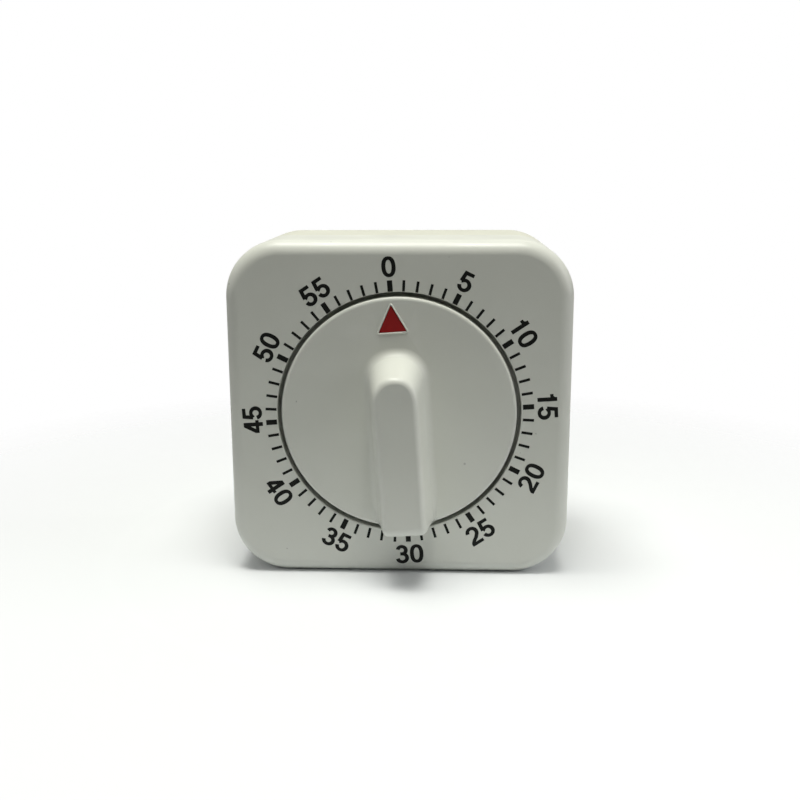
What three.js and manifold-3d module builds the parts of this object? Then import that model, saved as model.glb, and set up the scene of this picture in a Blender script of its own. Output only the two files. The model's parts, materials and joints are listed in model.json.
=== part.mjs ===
// A square 60-minute clockwork kitchen timer, in millimetres, +Z up.
// The origin is the middle of the flat bottom side. The dial faces -Y and its axis lies along Y.
// Everything on or behind the dial is placed from the dial axis, in x (right) and z (up), as seen
// from the front. Angles in that plane are counter-clockwise from +x.

import * as THREE from 'three';
import Module from 'manifold-3d';
import { mergeVertices } from 'three/addons/utils/BufferGeometryUtils.js';

const wasm = await Module();
wasm.setup();

// Housing
const BODY_WIDTH = 70;
const BODY_HEIGHT = 69.5;
const CORNER_RADIUS = 11.5;
const EDGE_RADIUS = 3;
const FACE_Y = -19;
const BACK_Y = 19;
const PARTING_Y = -2;
const PARTING_GAP = 0.2;
const WALL = 2;
const BODY_CENTRE_Z = BODY_HEIGHT / 2;
const DIAL_Z = 34.5;

// Round recess behind the knob
const RECESS_RADIUS = 24.8;
const RECESS_LIP = 0.3;
const RECESS_WALL = 1.5;
const RECESS_FLOOR_Y = -15.2;
const FLOOR_THICKNESS = 1.5;
const RECESS_BACK_Y = RECESS_FLOOR_Y + FLOOR_THICKNESS;
const HUB_HOLE_RADIUS = 4.6;
const CORNERS = [[-1, 1], [1, 1], [-1, -1], [1, -1]];

// Rear cover
const TONGUE_LENGTH = 2.5;
const TONGUE_THICKNESS = 1;
const TONGUE_GAP = 0.3;
const POST_OFFSET = 27.6;
const POST_RADIUS = 2.6;
const POST_END_Y = 8;
const PILOT_RADIUS = 1.35;
const PILOT_DEPTH = 12;
const CUP_RADIUS = 4.2;
const CUP_BORE_RADIUS = 3.2;
const CUP_FLOOR_Y = 8.2;
const CUP_FLOOR_THICKNESS = 1.6;
const SCREW_HOLE_RADIUS = 1.6;
const MAGNET_RADIUS = 11.4;
const MAGNET_FRONT_Y = 16.95;
const MAGNET_BACK_Y = 18.9;
const MAGNET_POCKET_RADIUS = 11.8;
const MAGNET_POCKET_Y = 16.7;
const MAGNET_BOSS_RADIUS = 13.3;
const MAGNET_BOSS_Y = 15.2;
const SLOT_LENGTH = 24;
const SLOT_WIDTH = 1.8;
const SLOT_PITCH = 3.5;
const SLOT_ROWS = 3;
const SLOT_FIRST_OFFSET = 18.5;

// Cover screws
const SCREW_HEAD_RADIUS = 2.6;
const SCREW_HEAD_HEIGHT = 1.8;
const SCREW_SHANK_RADIUS = 1.2;
const SCREW_SHANK_LENGTH = 10.8;
const CROSS_LENGTH = 3;
const CROSS_WIDTH = 0.7;
const CROSS_DEPTH = 1;

// Knob: a disc with a bar handle moulded on it
const DIAL_TILT = radians(3.86);
const DISC_RADIUS = 23.9;
const DISC_FRONT_Y = -19.6;
const DISC_BACK_Y = -16.6;
const DISC_EDGE_RADIUS = 0.5;
const HUB_RADIUS = 4;
const HUB_BACK_Y = -12.6;
const KNOB_BORE_RADIUS = 2;
const KNOB_BORE_Y = -18;
const HANDLE_HEIGHT = 10;
const HANDLE_BASE_HALF_WIDTH = 5.7;
const HANDLE_FRONT_HALF_WIDTH = 4.25;
const HANDLE_TOP_BASE = 12.4;
const HANDLE_TOP_FRONT = 9.2;
const HANDLE_END_BASE = -23.7;
const HANDLE_END_FRONT = -23;
const HANDLE_FILLET = 1.3;
const HANDLE_ROUND = 1;
const HANDLE_CORNER = 1.7;
const HANDLE_SINK = 1;
const LUG_RADIUS = 20;
const LUG_LENGTH = 4;
const LUG_WIDTH = 0.9;
const KNOB_LUG_Y = -15.5;
const SHELL_LUG_Y = -16.3;
const KNOB_LUG_ANGLE = radians(200);
const LUG_SPACING = radians(3);

// Red pointer let into the disc
const POINTER_TIP_RADIUS = 22.6;
const POINTER_BASE_RADIUS = 16.9;
const POINTER_WIDTH = 5.6;
const POINTER_POCKET_DEPTH = 0.5;
const POINTER_GAP = 0.12;
const POINTER_SINK = 0.08;

// Movement plates and the layers between them
const PLATE_THICKNESS = 0.8;
const FRONT_PLATE_Y = -12;
const REAR_PLATE_Y = 1.4;
const PLATE_WIDTH = 54;
const PLATE_HEIGHT = 52;
const PLATE_CENTRE_Z = 1;
const PLATE_CORNER = 9;
const LAYER_THIRD_WHEEL = -10.8;
const LAYER_SECOND_WHEEL = -9.8;
const LAYER_MAIN_WHEEL = -8.8;
const LAYER_BARREL_TEETH = -0.4;
const THIN_WHEEL = 0.6;
const THICK_WHEEL = 0.8;
const PINION_OVERHANG = 0.15;
const ARBOR_RADIUS = 0.7;
const PIVOT_RADIUS = 0.5;
const PIVOT_HOLE_RADIUS = 0.6;
const WHEEL_BORE_GAP = 0.05;
const PIVOT_BACK_Y = REAR_PLATE_Y + PLATE_THICKNESS;

// Gear train: teeth and modules
const MAIN_TEETH = 60;
const MAIN_MODULE = 0.45;
const SECOND_TEETH = 60;
const SECOND_MODULE = 0.4;
const THIRD_TEETH = 60;
const THIRD_MODULE = 0.35;
const PINION_TEETH = 8;
const BARREL_TEETH = 60;
const BARREL_MODULE = 0.45;
const ALARM_PINION_TEETH = 10;
const ESCAPE_TEETH = 18;
const ESCAPE_RADIUS = 5.5;
const ESCAPE_ROOT = 4.1;
const STAR_TEETH = 12;
const STAR_RADIUS = 5;
const STAR_ROOT = 3.4;
const TOOTH_ADDENDUM = 0.95;
const TOOTH_DEDENDUM = 1.3;
const ROOT_SHARE = 0.62;
const TIP_SHARE = 0.24;
const PINION_ROOT_SHARE = 0.5;
const PINION_TIP_SHARE = 0.2;
const POINT_ROOT_SHARE = 0.5;
const SPOKES = 4;
const SPOKE_HALF_WIDTH = 0.8;
const MAIN_WINDOWS = [5.6, 10.6];
const TRAIN_WINDOW_INNER = 2.8;
const TRAIN_RIM = 1.4;

// Positions of the arbors, from the dial axis
const MAIN_AXIS = [0, 0];
const SECOND_AXIS = stepFrom(MAIN_AXIS, meshDistance(MAIN_TEETH, PINION_TEETH, MAIN_MODULE), 135);
const THIRD_AXIS = stepFrom(
  SECOND_AXIS, meshDistance(SECOND_TEETH, PINION_TEETH, SECOND_MODULE), 25);
const ESCAPE_AXIS = stepFrom(
  THIRD_AXIS, meshDistance(THIRD_TEETH, PINION_TEETH, THIRD_MODULE), -25);
const ANCHOR_DISTANCE = 8;
const PALLET_AXIS = stepFrom(ESCAPE_AXIS, ANCHOR_DISTANCE, 10);
const ALARM_AXIS = stepFrom(
  MAIN_AXIS, meshDistance(BARREL_TEETH, ALARM_PINION_TEETH, BARREL_MODULE), -115);
const HAMMER_AXIS = stepFrom(ALARM_AXIS, ANCHOR_DISTANCE, 200);
const LEVER_AXIS = [9.5, -13.5];

// Pallets: two pins on an anchor that straddles a toothed wheel
const ESCAPE_PIN_RADIUS = 0.25;
const ESCAPE_PIN_CIRCLE = 5.95;
const ESCAPE_PIN_ANGLE = 45;
const STAR_PIN_RADIUS = 0.35;
const STAR_PIN_CIRCLE = 5.6;
const STAR_PIN_ANGLE = 37.5;
const ANCHOR_Y = -8.8;
const ANCHOR_THICKNESS = 0.6;
const ANCHOR_ARM_WIDTH = 1.2;
const ANCHOR_HUB_RADIUS = 1.6;
const PIN_FRONT_Y = -9.95;

// Balance bar on the pallet arbor
const BALANCE_Y = -6;
const BALANCE_THICKNESS = 0.8;
const BALANCE_REACH = 6;
const BALANCE_WIDTH = 1.4;
const BALANCE_WEIGHT_RADIUS = 1.1;
const BALANCE_WEIGHT_LENGTH = 2.4;

// Main arbor, barrel and mainspring
const MAIN_ARBOR_RADIUS = 1.9;
const MAIN_ARBOR_FRONT_Y = -17.7;
const MAIN_NECK_RADIUS = 1.5;
const MAIN_NECK_HOLE_RADIUS = 1.6;
const MAIN_CORE_RADIUS = 2.6;
const MAIN_PIVOT_RADIUS = 1;
const BARREL_FRONT_Y = -7.3;
const BARREL_RADIUS = 12.4;
const BARREL_WALL = 0.6;
const LID_FRONT_Y = -7.2;
const LID_THICKNESS = 0.6;
const SPRING_FRONT_Y = -6.3;
const SPRING_BACK_Y = -0.7;
const SPRING_THICKNESS = 0.32;
const SPRING_INNER_RADIUS = 3.1;
const SPRING_OUTER_RADIUS = 11.3;
const SPRING_TURNS = 5;
const SPRING_STEPS_PER_TURN = 13;

// Alarm cam, friction washer and alarm lever
const CAM_RADIUS = 5.2;
const CAM_NOTCH_ANGLE = -80;
const CAM_NOTCH_HALF_ANGLE = 26;
const CAM_NOTCH_RADIUS = 3.3;
const CAM_SEGMENTS = 12;
const WASHER_Y = -7.85;
const WASHER_THICKNESS = 0.25;
const WASHER_RADIUS = 4.2;
const WASHER_LEAVES = 3;
const WASHER_ROOT = 2.9;
const WASHER_ROOT_SHARE = 0.5;
const WASHER_TIP_SHARE = 0.3;
const LEVER_HUB_RADIUS = 2.1;
const LEVER_BORE_RADIUS = 1.3;
const LEVER_WIDTH = 1.4;
const LEVER_NOSE_WIDTH = 0.8;
const LEVER_NOSE_GAP = 0.3;
const LEVER_KNEE_GAP = 2.4;
const LEVER_FINGER = [-15.1, -7.7];

// Hammer and bell
const BELL_AXIS = [0, -6];
const BELL_RADIUS = 19;
const BELL_RIM_Y = 4.2;
const BELL_TOP_Y = 11.4;
const BELL_THICKNESS = 0.9;
const BELL_DOME_RADIUS = 6;
const BELL_HOLE_RADIUS = 1.6;
const BELL_POST_RADIUS = 2.6;
const HAMMER_ARM_Y = 2.8;
const HAMMER_ARM_THICKNESS = 0.8;
const HAMMER_REACH = [-8.4, 13];
const HAMMER_HEAD_RADIUS = 1.5;
const HAMMER_HEAD_FRONT_Y = 3.7;
const HAMMER_HEAD_BACK_Y = 8.2;
const HAMMER_STOP_PIN = [5.5, -5];

// Fastenings of the movement
const PILLAR_AXES = [[-24, 3], [21.5, 22.5], [17.5, -18.5]];
const PILLAR_RADIUS = 1.6;
const PILLAR_TENON_RADIUS = 1;
const TENON_HOLE_RADIUS = 1.1;
const SEAT_GAP = 0.05;
const NUT_CORNER_RADIUS = 2.3;
const NUT_HEIGHT = 1.6;
const NUT_SIDES = 6;
const MOVEMENT_SCREW_AXES = [[-24, 18], [24, 0], [4, -22]];
const BOSS_RADIUS = 2.5;
const BOSS_BACK_Y = FRONT_PLATE_Y - 0.1;
const PLATE_SCREW_RADIUS = 1.1;
const PLATE_SCREW_HOLE = 1.25;
const PLATE_SCREW_HEAD = 2;

// Facets around round surfaces
const BODY_CURVE = 4;
const BODY_EDGE_STEPS = 3;
const ROUND_STEPS = 3;
const HANDLE_CURVE = 5;
const END_CURVE = 2;
const WINDOW_CURVE = 2;
const DISC_SIDES = 44;
const BELL_SIDES = 24;
const ROD_SIDES = 12;
const SHAFT_SIDES = 8;
const HOLE_SIDES = 8;

// How far a cutter runs past the face that it cuts, and how close two corners are to be one
const REACH = 1;
const WELD_DISTANCE = 1e-4;

// Finish of each material
const IVORY_PLASTIC = { color: 0xe4e3da, roughness: 0.38, metalness: 0 };
const REAR_PLASTIC = { color: 0xd8d8ca, roughness: 0.45, metalness: 0 };
const RED_PLASTIC = { color: 0xb5231c, roughness: 0.4, metalness: 0 };
const BRASS = { color: 0xc9a14a, roughness: 0.3, metalness: 1 };
const STEEL = { color: 0xa9abad, roughness: 0.32, metalness: 1 };
const SPRING_STEEL = { color: 0x54585f, roughness: 0.35, metalness: 1 };
const ZINC = { color: 0xc3c6c8, roughness: 0.4, metalness: 1 };
const FERRITE = { color: 0x2c2a2b, roughness: 0.75, metalness: 0.1 };
const BELL_NICKEL = { color: 0xd2d0c9, roughness: 0.18, metalness: 1 };
const WHITE_ACETAL = { color: 0xf0efe9, roughness: 0.5, metalness: 0 };

// ---------------------------------------------------------------- plane geometry

function radians(degrees) {
  return THREE.MathUtils.degToRad(degrees);
}

function stepFrom([x, z], distance, degrees) {
  const [dx, dz] = polar(distance, radians(degrees));
  return [x + dx, z + dz];
}

function directionFrom([x0, z0], [x1, z1]) {
  return Math.atan2(z1 - z0, x1 - x0);
}

function meshDistance(wheelTeeth, pinionTeeth, toothModule) {
  return (wheelTeeth + pinionTeeth) * toothModule / 2;
}

// A round hole as a polygon whose flats stand at the stated radius, so a shaft of it just passes.
function holePath(radius, x = 0, z = 0, sides = HOLE_SIDES) {
  const corner = radius / Math.cos(Math.PI / sides);
  const points = Array.from({ length: sides }, (_, i) => {
    const [dx, dz] = polar(corner, 2 * Math.PI * i / sides);
    return new THREE.Vector2(x + dx, z + dz);
  });
  return new THREE.Path(points);
}

function circleShape(radius, x = 0, z = 0) {
  const shape = new THREE.Shape();
  shape.absarc(x, z, radius, 0, 2 * Math.PI, false);
  return shape;
}

function roundedRectangle(width, height, radius, x = 0, z = 0) {
  const w = width / 2 - radius;
  const h = height / 2 - radius;
  const shape = new THREE.Shape();
  shape.absarc(x + w, z + h, radius, 0, Math.PI / 2, false);
  shape.absarc(x - w, z + h, radius, Math.PI / 2, Math.PI, false);
  shape.absarc(x - w, z - h, radius, Math.PI, 1.5 * Math.PI, false);
  shape.absarc(x + w, z - h, radius, 1.5 * Math.PI, 2 * Math.PI, false);
  shape.closePath();
  return shape;
}

function capsule([x0, z0], [x1, z1], width) {
  const angle = Math.atan2(z1 - z0, x1 - x0);
  const radius = width / 2;
  const shape = new THREE.Shape();
  shape.absarc(x1, z1, radius, angle - Math.PI / 2, angle + Math.PI / 2, false);
  shape.absarc(x0, z0, radius, angle + Math.PI / 2, angle + 1.5 * Math.PI, false);
  shape.closePath();
  return shape;
}

function polygon(points) {
  return new THREE.Shape(points.map(([x, z]) => new THREE.Vector2(x, z)));
}

function polar(radius, angle) {
  return [radius * Math.cos(angle), radius * Math.sin(angle)];
}

// ---------------------------------------------------------------- solids

function solidOf(geometry) {
  const bare = geometry.index ? geometry.toNonIndexed() : geometry.clone();
  bare.deleteAttribute('normal');
  bare.deleteAttribute('uv');
  const merged = mergeVertices(bare, WELD_DISTANCE);
  const index = merged.index.array;
  const kept = [];
  for (let i = 0; i < index.length; i += 3) {
    const [a, b, c] = [index[i], index[i + 1], index[i + 2]];
    if (a !== b && b !== c && c !== a) {
      kept.push(a, b, c);
    }
  }
  return new wasm.Manifold(new wasm.Mesh({
    numProp: 3,
    vertProperties: new Float32Array(merged.attributes.position.array),
    triVerts: new Uint32Array(kept),
  }));
}

function geometryOf(solid) {
  const { vertProperties, triVerts } = solid.getMesh();
  const geometry = new THREE.BufferGeometry();
  geometry.setAttribute('position', new THREE.BufferAttribute(new Float32Array(vertProperties), 3));
  geometry.setIndex(new THREE.BufferAttribute(new Uint32Array(triVerts), 1));
  geometry.computeVertexNormals();
  return geometry;
}

// A flat outline in x and z, made thick from yFront to yBack.
function prism(shape, yFront, yBack, curveSegments = ROUND_STEPS) {
  const geometry = new THREE.ExtrudeGeometry(shape, {
    depth: yBack - yFront,
    bevelEnabled: false,
    curveSegments,
  });
  geometry.rotateX(Math.PI / 2);
  geometry.translate(0, yBack, 0);
  return solidOf(geometry);
}

function rod(radius, yFront, yBack, x = 0, z = 0, sides = ROD_SIDES) {
  const geometry = new THREE.CylinderGeometry(radius, radius, yBack - yFront, sides);
  geometry.translate(x, (yFront + yBack) / 2, z);
  return solidOf(geometry);
}

// A round cutter whose flats stand at the stated radius.
function bore(radius, yFront, yBack, x = 0, z = 0, sides = SHAFT_SIDES) {
  return rod(radius / Math.cos(Math.PI / sides), yFront, yBack, x, z, sides);
}

// A profile of [radius, y] points, listed with y falling along the outside, turned about Y.
function turned(points, sides) {
  const profile = points.map(([r, y]) => new THREE.Vector2(r, y));
  let twiceArea = 0;
  profile.forEach((p, i) => {
    const q = profile[(i + 1) % profile.length];
    twiceArea += p.x * q.y - q.x * p.y;
  });
  if (twiceArea < 0) {
    profile.reverse();
  }
  return solidOf(new THREE.LatheGeometry(profile, sides));
}

// A stepped shaft: [radius, yFront, yBack] for each length, front to back.
function steppedShaft(lengths, sides = SHAFT_SIDES) {
  const outline = lengths.flatMap(([radius, front, back]) => [[radius, front], [radius, back]]);
  const front = lengths[0][1];
  const back = lengths[lengths.length - 1][2];
  return turned([[0, front], ...outline, [0, back]], sides);
}

function block(width, depth, height, x, y, z) {
  const geometry = new THREE.BoxGeometry(width, depth, height);
  geometry.translate(x, y, z);
  return solidOf(geometry);
}

function joined(solids) {
  return solids.reduce((sum, solid) => sum.add(solid));
}

function without(solid, cuts) {
  return cuts.reduce((rest, cut) => rest.subtract(cut), solid);
}

// A named piece; x and z are the place of its own axis.
function piece(name, solid, finish, x = 0, z = 0) {
  const mesh = new THREE.Mesh(geometryOf(solid), new THREE.MeshStandardMaterial(finish));
  mesh.name = name;
  mesh.position.set(x, 0, z);
  return mesh;
}

// ---------------------------------------------------------------- gears

function toothOutline(teeth, rootRadius, tipRadius, rootShare, tipShare, phase) {
  const pitch = 2 * Math.PI / teeth;
  const points = [];
  for (let i = 0; i < teeth; i++) {
    const middle = phase + i * pitch;
    points.push(polar(rootRadius, middle - rootShare * pitch / 2));
    points.push(polar(tipRadius, middle - tipShare * pitch / 2));
    points.push(polar(tipRadius, middle + tipShare * pitch / 2));
    points.push(polar(rootRadius, middle + rootShare * pitch / 2));
  }
  return polygon(points);
}

function wheelOutline(teeth, toothModule, phase) {
  const pitchRadius = teeth * toothModule / 2;
  return toothOutline(
    teeth, pitchRadius - TOOTH_DEDENDUM * toothModule, pitchRadius + TOOTH_ADDENDUM * toothModule,
    ROOT_SHARE, TIP_SHARE, phase);
}

function pinionOutline(teeth, toothModule, phase) {
  const pitchRadius = teeth * toothModule / 2;
  return toothOutline(
    teeth, pitchRadius - TOOTH_DEDENDUM * toothModule, pitchRadius + TOOTH_ADDENDUM * toothModule,
    PINION_ROOT_SHARE, PINION_TIP_SHARE, phase);
}

// Pointed teeth, as on an escape wheel or a star wheel.
function pointedOutline(teeth, rootRadius, tipRadius, phase) {
  const pitch = 2 * Math.PI / teeth;
  const points = [];
  for (let i = 0; i < teeth; i++) {
    const middle = phase + i * pitch;
    points.push(polar(rootRadius, middle - POINT_ROOT_SHARE * pitch / 2));
    points.push(polar(tipRadius, middle));
    points.push(polar(rootRadius, middle + POINT_ROOT_SHARE * pitch / 2));
  }
  return polygon(points);
}

// Windows between the spokes of a wheel.
function addWindows(shape, innerRadius, outerRadius) {
  for (let i = 0; i < SPOKES; i++) {
    const middle = Math.PI / SPOKES + i * 2 * Math.PI / SPOKES;
    const innerHalf = Math.PI / SPOKES - SPOKE_HALF_WIDTH / innerRadius;
    const outerHalf = Math.PI / SPOKES - SPOKE_HALF_WIDTH / outerRadius;
    const path = new THREE.Path();
    path.absarc(0, 0, outerRadius, middle - outerHalf, middle + outerHalf, false);
    path.absarc(0, 0, innerRadius, middle + innerHalf, middle - innerHalf, true);
    path.closePath();
    shape.holes.push(path);
  }
}

// A wheel's gap faces the arbor it is driven from, and its tooth the one that it drives.
function gapPhase(teeth, direction) {
  return direction + Math.PI / teeth;
}

function arborWithPinion(teeth, toothModule, phase, layer, thickness, shaftBackY) {
  const shaft = steppedShaft([
    [PIVOT_RADIUS, FRONT_PLATE_Y + SEAT_GAP, FRONT_PLATE_Y + PLATE_THICKNESS + SEAT_GAP],
    [ARBOR_RADIUS, FRONT_PLATE_Y + PLATE_THICKNESS + SEAT_GAP, REAR_PLATE_Y - SEAT_GAP],
    [PIVOT_RADIUS, REAR_PLATE_Y - SEAT_GAP, shaftBackY],
  ]);
  const leaves = prism(
    pinionOutline(teeth, toothModule, phase),
    layer - PINION_OVERHANG, layer + thickness + PINION_OVERHANG);
  return shaft.add(leaves);
}

// ---------------------------------------------------------------- housing

function outerBody() {
  const geometry = new THREE.ExtrudeGeometry(
    roundedRectangle(BODY_WIDTH, BODY_HEIGHT, CORNER_RADIUS, 0, BODY_CENTRE_Z), {
      depth: BACK_Y - FACE_Y - 2 * EDGE_RADIUS,
      bevelThickness: EDGE_RADIUS,
      bevelSize: EDGE_RADIUS,
      bevelOffset: -EDGE_RADIUS,
      bevelSegments: BODY_EDGE_STEPS,
      curveSegments: BODY_CURVE,
    });
  geometry.rotateX(Math.PI / 2);
  geometry.translate(0, BACK_Y - EDGE_RADIUS, 0);
  return solidOf(geometry);
}

function insetBody(inset, yFront, yBack) {
  const shape = roundedRectangle(
    BODY_WIDTH - 2 * inset, BODY_HEIGHT - 2 * inset, CORNER_RADIUS - inset, 0, BODY_CENTRE_Z);
  return prism(shape, yFront, yBack, BODY_CURVE);
}

function slab(yFront, yBack) {
  return block(
    2 * BODY_WIDTH, yBack - yFront, 2 * BODY_HEIGHT, 0, (yFront + yBack) / 2, BODY_CENTRE_Z);
}

function postAxes() {
  return CORNERS.map(([sx, sz]) => [sx * POST_OFFSET, BODY_CENTRE_Z + sz * POST_OFFSET]);
}

function stopLug(angle, yFront, yBack) {
  const inner = polar(LUG_RADIUS - LUG_LENGTH / 2, angle);
  const outer = polar(LUG_RADIUS + LUG_LENGTH / 2, angle);
  return prism(capsule(inner, outer, LUG_WIDTH), yFront, yBack, END_CURVE);
}

function recessCutter() {
  return turned([
    [0, FACE_Y - REACH],
    [RECESS_RADIUS + RECESS_LIP, FACE_Y - REACH],
    [RECESS_RADIUS + RECESS_LIP, FACE_Y],
    [RECESS_RADIUS, FACE_Y + RECESS_LIP],
    [RECESS_RADIUS, RECESS_FLOOR_Y],
    [0, RECESS_FLOOR_Y],
  ], DISC_SIDES).translate([0, 0, DIAL_Z]);
}

// Bosses that carry the movement's front plate; one stands on the back of the recess.
function movementBosses() {
  return MOVEMENT_SCREW_AXES.map(([x, z]) => {
    const inRecess = Math.hypot(x, z) < RECESS_RADIUS;
    const front = inRecess ? RECESS_BACK_Y - REACH / 2 : FACE_Y + WALL / 2;
    return rod(BOSS_RADIUS, front, BOSS_BACK_Y, x, DIAL_Z + z, SHAFT_SIDES);
  });
}

function coverPosts() {
  return postAxes().map(([x, z]) => (
    rod(POST_RADIUS, FACE_Y + WALL / 2, POST_END_Y, x, z, SHAFT_SIDES)));
}

function screwPilots() {
  const movement = MOVEMENT_SCREW_AXES.map(([x, z]) => (
    bore(PLATE_SCREW_HOLE, RECESS_BACK_Y, BOSS_BACK_Y + REACH, x, DIAL_Z + z)));
  const cover = postAxes().map(([x, z]) => (
    bore(PILOT_RADIUS, POST_END_Y - PILOT_DEPTH, POST_END_Y + REACH, x, z)));
  return [...movement, ...cover];
}

function makeFrontShell() {
  const walls = outerBody()
    .intersect(slab(FACE_Y - REACH, PARTING_Y))
    .subtract(insetBody(WALL, FACE_Y + WALL, PARTING_Y + REACH));
  const cup = rod(
    RECESS_RADIUS + RECESS_WALL, FACE_Y + REACH, RECESS_BACK_Y, 0, DIAL_Z, DISC_SIDES);
  const lug = stopLug(
    KNOB_LUG_ANGLE + DIAL_TILT + LUG_SPACING, SHELL_LUG_Y, RECESS_FLOOR_Y + REACH / 2)
    .translate([0, 0, DIAL_Z]);
  const hubHole = bore(
    HUB_HOLE_RADIUS, RECESS_FLOOR_Y - REACH, RECESS_BACK_Y + REACH, 0, DIAL_Z, ROD_SIDES);
  const solid = walls.add(cup).subtract(recessCutter());
  return without(
    joined([solid, lug, ...movementBosses(), ...coverPosts()]),
    [hubHole, ...screwPilots()]);
}

function makeTongue() {
  const inset = WALL + TONGUE_GAP;
  const yFront = PARTING_Y - TONGUE_LENGTH;
  const yBack = PARTING_Y + PARTING_GAP + WALL;
  const ring = insetBody(inset, yFront, yBack);
  const root = insetBody(WALL / 2, PARTING_Y + PARTING_GAP, yBack);
  const middle = insetBody(inset + TONGUE_THICKNESS, yFront - REACH, yBack + REACH);
  const reliefs = postAxes().map(([x, z]) => (
    rod(POST_RADIUS + TONGUE_THICKNESS, yFront - REACH, yBack + REACH, x, z, SHAFT_SIDES)));
  return without(ring.add(root), [middle, ...reliefs]);
}

function soundSlots() {
  const half = (SLOT_LENGTH - SLOT_WIDTH) / 2;
  const slots = [];
  for (const side of [-1, 1]) {
    for (let row = 0; row < SLOT_ROWS; row++) {
      const z = BODY_CENTRE_Z + side * (SLOT_FIRST_OFFSET + row * SLOT_PITCH);
      const slot = capsule([-half, z], [half, z], SLOT_WIDTH);
      slots.push(prism(slot, BACK_Y - 2 * WALL, BACK_Y + REACH, END_CURVE));
    }
  }
  return slots;
}

function makeRearCover() {
  const outline = outerBody().intersect(slab(PARTING_Y + PARTING_GAP, BACK_Y + REACH));
  const walls = outline.subtract(insetBody(WALL, PARTING_Y - REACH, BACK_Y - WALL));
  const cups = postAxes().map(([x, z]) => rod(CUP_RADIUS, CUP_FLOOR_Y, BACK_Y - WALL / 2, x, z));
  const magnetBoss = rod(
    MAGNET_BOSS_RADIUS, MAGNET_BOSS_Y, BACK_Y - WALL / 2, 0, BODY_CENTRE_Z, BELL_SIDES);
  const bores = postAxes().flatMap(([x, z]) => [
    bore(CUP_BORE_RADIUS, CUP_FLOOR_Y + CUP_FLOOR_THICKNESS, BACK_Y + REACH, x, z, ROD_SIDES),
    bore(SCREW_HOLE_RADIUS, CUP_FLOOR_Y - REACH, BACK_Y, x, z),
  ]);
  const pocket = bore(
    MAGNET_POCKET_RADIUS, MAGNET_POCKET_Y, BACK_Y + REACH, 0, BODY_CENTRE_Z, BELL_SIDES);
  const inner = joined([...cups, magnetBoss]).intersect(outline);
  return without(joined([walls, inner, makeTongue()]), [...bores, pocket, ...soundSlots()]);
}

function makeCoverScrew() {
  const headFront = CUP_FLOOR_Y + CUP_FLOOR_THICKNESS + SEAT_GAP;
  const headBack = headFront + SCREW_HEAD_HEIGHT;
  const shank = steppedShaft([
    [SCREW_SHANK_RADIUS, headFront - SCREW_SHANK_LENGTH, headFront],
    [SCREW_HEAD_RADIUS, headFront, headBack],
  ]);
  const middle = headBack - CROSS_DEPTH / 2 + SEAT_GAP;
  return without(shank, [
    block(CROSS_LENGTH, CROSS_DEPTH, CROSS_WIDTH, 0, middle, 0),
    block(CROSS_WIDTH, CROSS_DEPTH, CROSS_LENGTH, 0, middle, 0),
  ]);
}

function housingPieces() {
  const screws = postAxes().map(([x, z], i) => (
    piece(`cover_screw_${i + 1}`, makeCoverScrew(), ZINC, x, z)));
  const magnet = rod(MAGNET_RADIUS, MAGNET_FRONT_Y, MAGNET_BACK_Y, 0, 0, BELL_SIDES);
  return [
    piece('front_shell', makeFrontShell(), IVORY_PLASTIC),
    piece('rear_cover', makeRearCover(), REAR_PLASTIC),
    ...screws,
    piece('back_magnet', magnet, FERRITE, 0, BODY_CENTRE_Z),
  ];
}

// ---------------------------------------------------------------- knob

// Heights and insets of the handle's rings: a fillet at the disc, then a round at the front edge.
function handleRings() {
  const rings = [];
  for (let i = 0; i <= ROUND_STEPS; i++) {
    const angle = i / ROUND_STEPS * Math.PI / 2;
    rings.push({
      height: HANDLE_FILLET * (1 - Math.cos(angle)),
      inset: -HANDLE_FILLET * (1 - Math.sin(angle)),
    });
  }
  for (let i = 0; i <= ROUND_STEPS; i++) {
    const angle = i / ROUND_STEPS * Math.PI / 2;
    rings.push({
      height: HANDLE_HEIGHT - HANDLE_ROUND * (1 - Math.sin(angle)),
      inset: HANDLE_ROUND * (1 - Math.cos(angle)),
    });
  }
  return rings;
}

// Plan outline of unit half-width: a half circle on top, square corners rounded at the bottom.
function handlePlan() {
  const corner = HANDLE_CORNER / HANDLE_BASE_HALF_WIDTH;
  const shape = new THREE.Shape();
  shape.absarc(0, 0, 1, 0, Math.PI, false);
  shape.absarc(-1 + corner, -1 + corner, corner, Math.PI, 1.5 * Math.PI, false);
  shape.absarc(1 - corner, -1 + corner, corner, 1.5 * Math.PI, 2 * Math.PI, false);
  shape.closePath();
  return shape;
}

// Moves one corner of the unit plan to its place on a ring.
function handlePoint({ height, inset }, planX, planZ) {
  const share = height / HANDLE_HEIGHT;
  const halfWidth = THREE.MathUtils.lerp(
    HANDLE_BASE_HALF_WIDTH, HANDLE_FRONT_HALF_WIDTH, share) - inset;
  const top = THREE.MathUtils.lerp(HANDLE_TOP_BASE, HANDLE_TOP_FRONT, share) - inset;
  const end = THREE.MathUtils.lerp(HANDLE_END_BASE, HANDLE_END_FRONT, share) + Math.max(inset, 0);
  const cornerRun = Math.min((planZ + 1) * halfWidth, HANDLE_CORNER + REACH);
  const z = planZ >= 0 ? top - halfWidth + planZ * halfWidth : end + cornerRun;
  const y = height > 0 ? DISC_FRONT_Y - height : DISC_FRONT_Y + HANDLE_SINK;
  return [planX * halfWidth, y, z];
}

function makeHandle() {
  const rings = handleRings();
  const geometry = new THREE.ExtrudeGeometry(handlePlan(), {
    depth: rings.length - 1,
    steps: rings.length - 1,
    bevelEnabled: false,
    curveSegments: HANDLE_CURVE,
  });
  const position = geometry.attributes.position;
  for (let i = 0; i < position.count; i++) {
    const ring = rings[Math.round(position.getZ(i))];
    position.setXYZ(i, ...handlePoint(ring, position.getX(i), position.getY(i)));
  }
  return solidOf(geometry);
}

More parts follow.
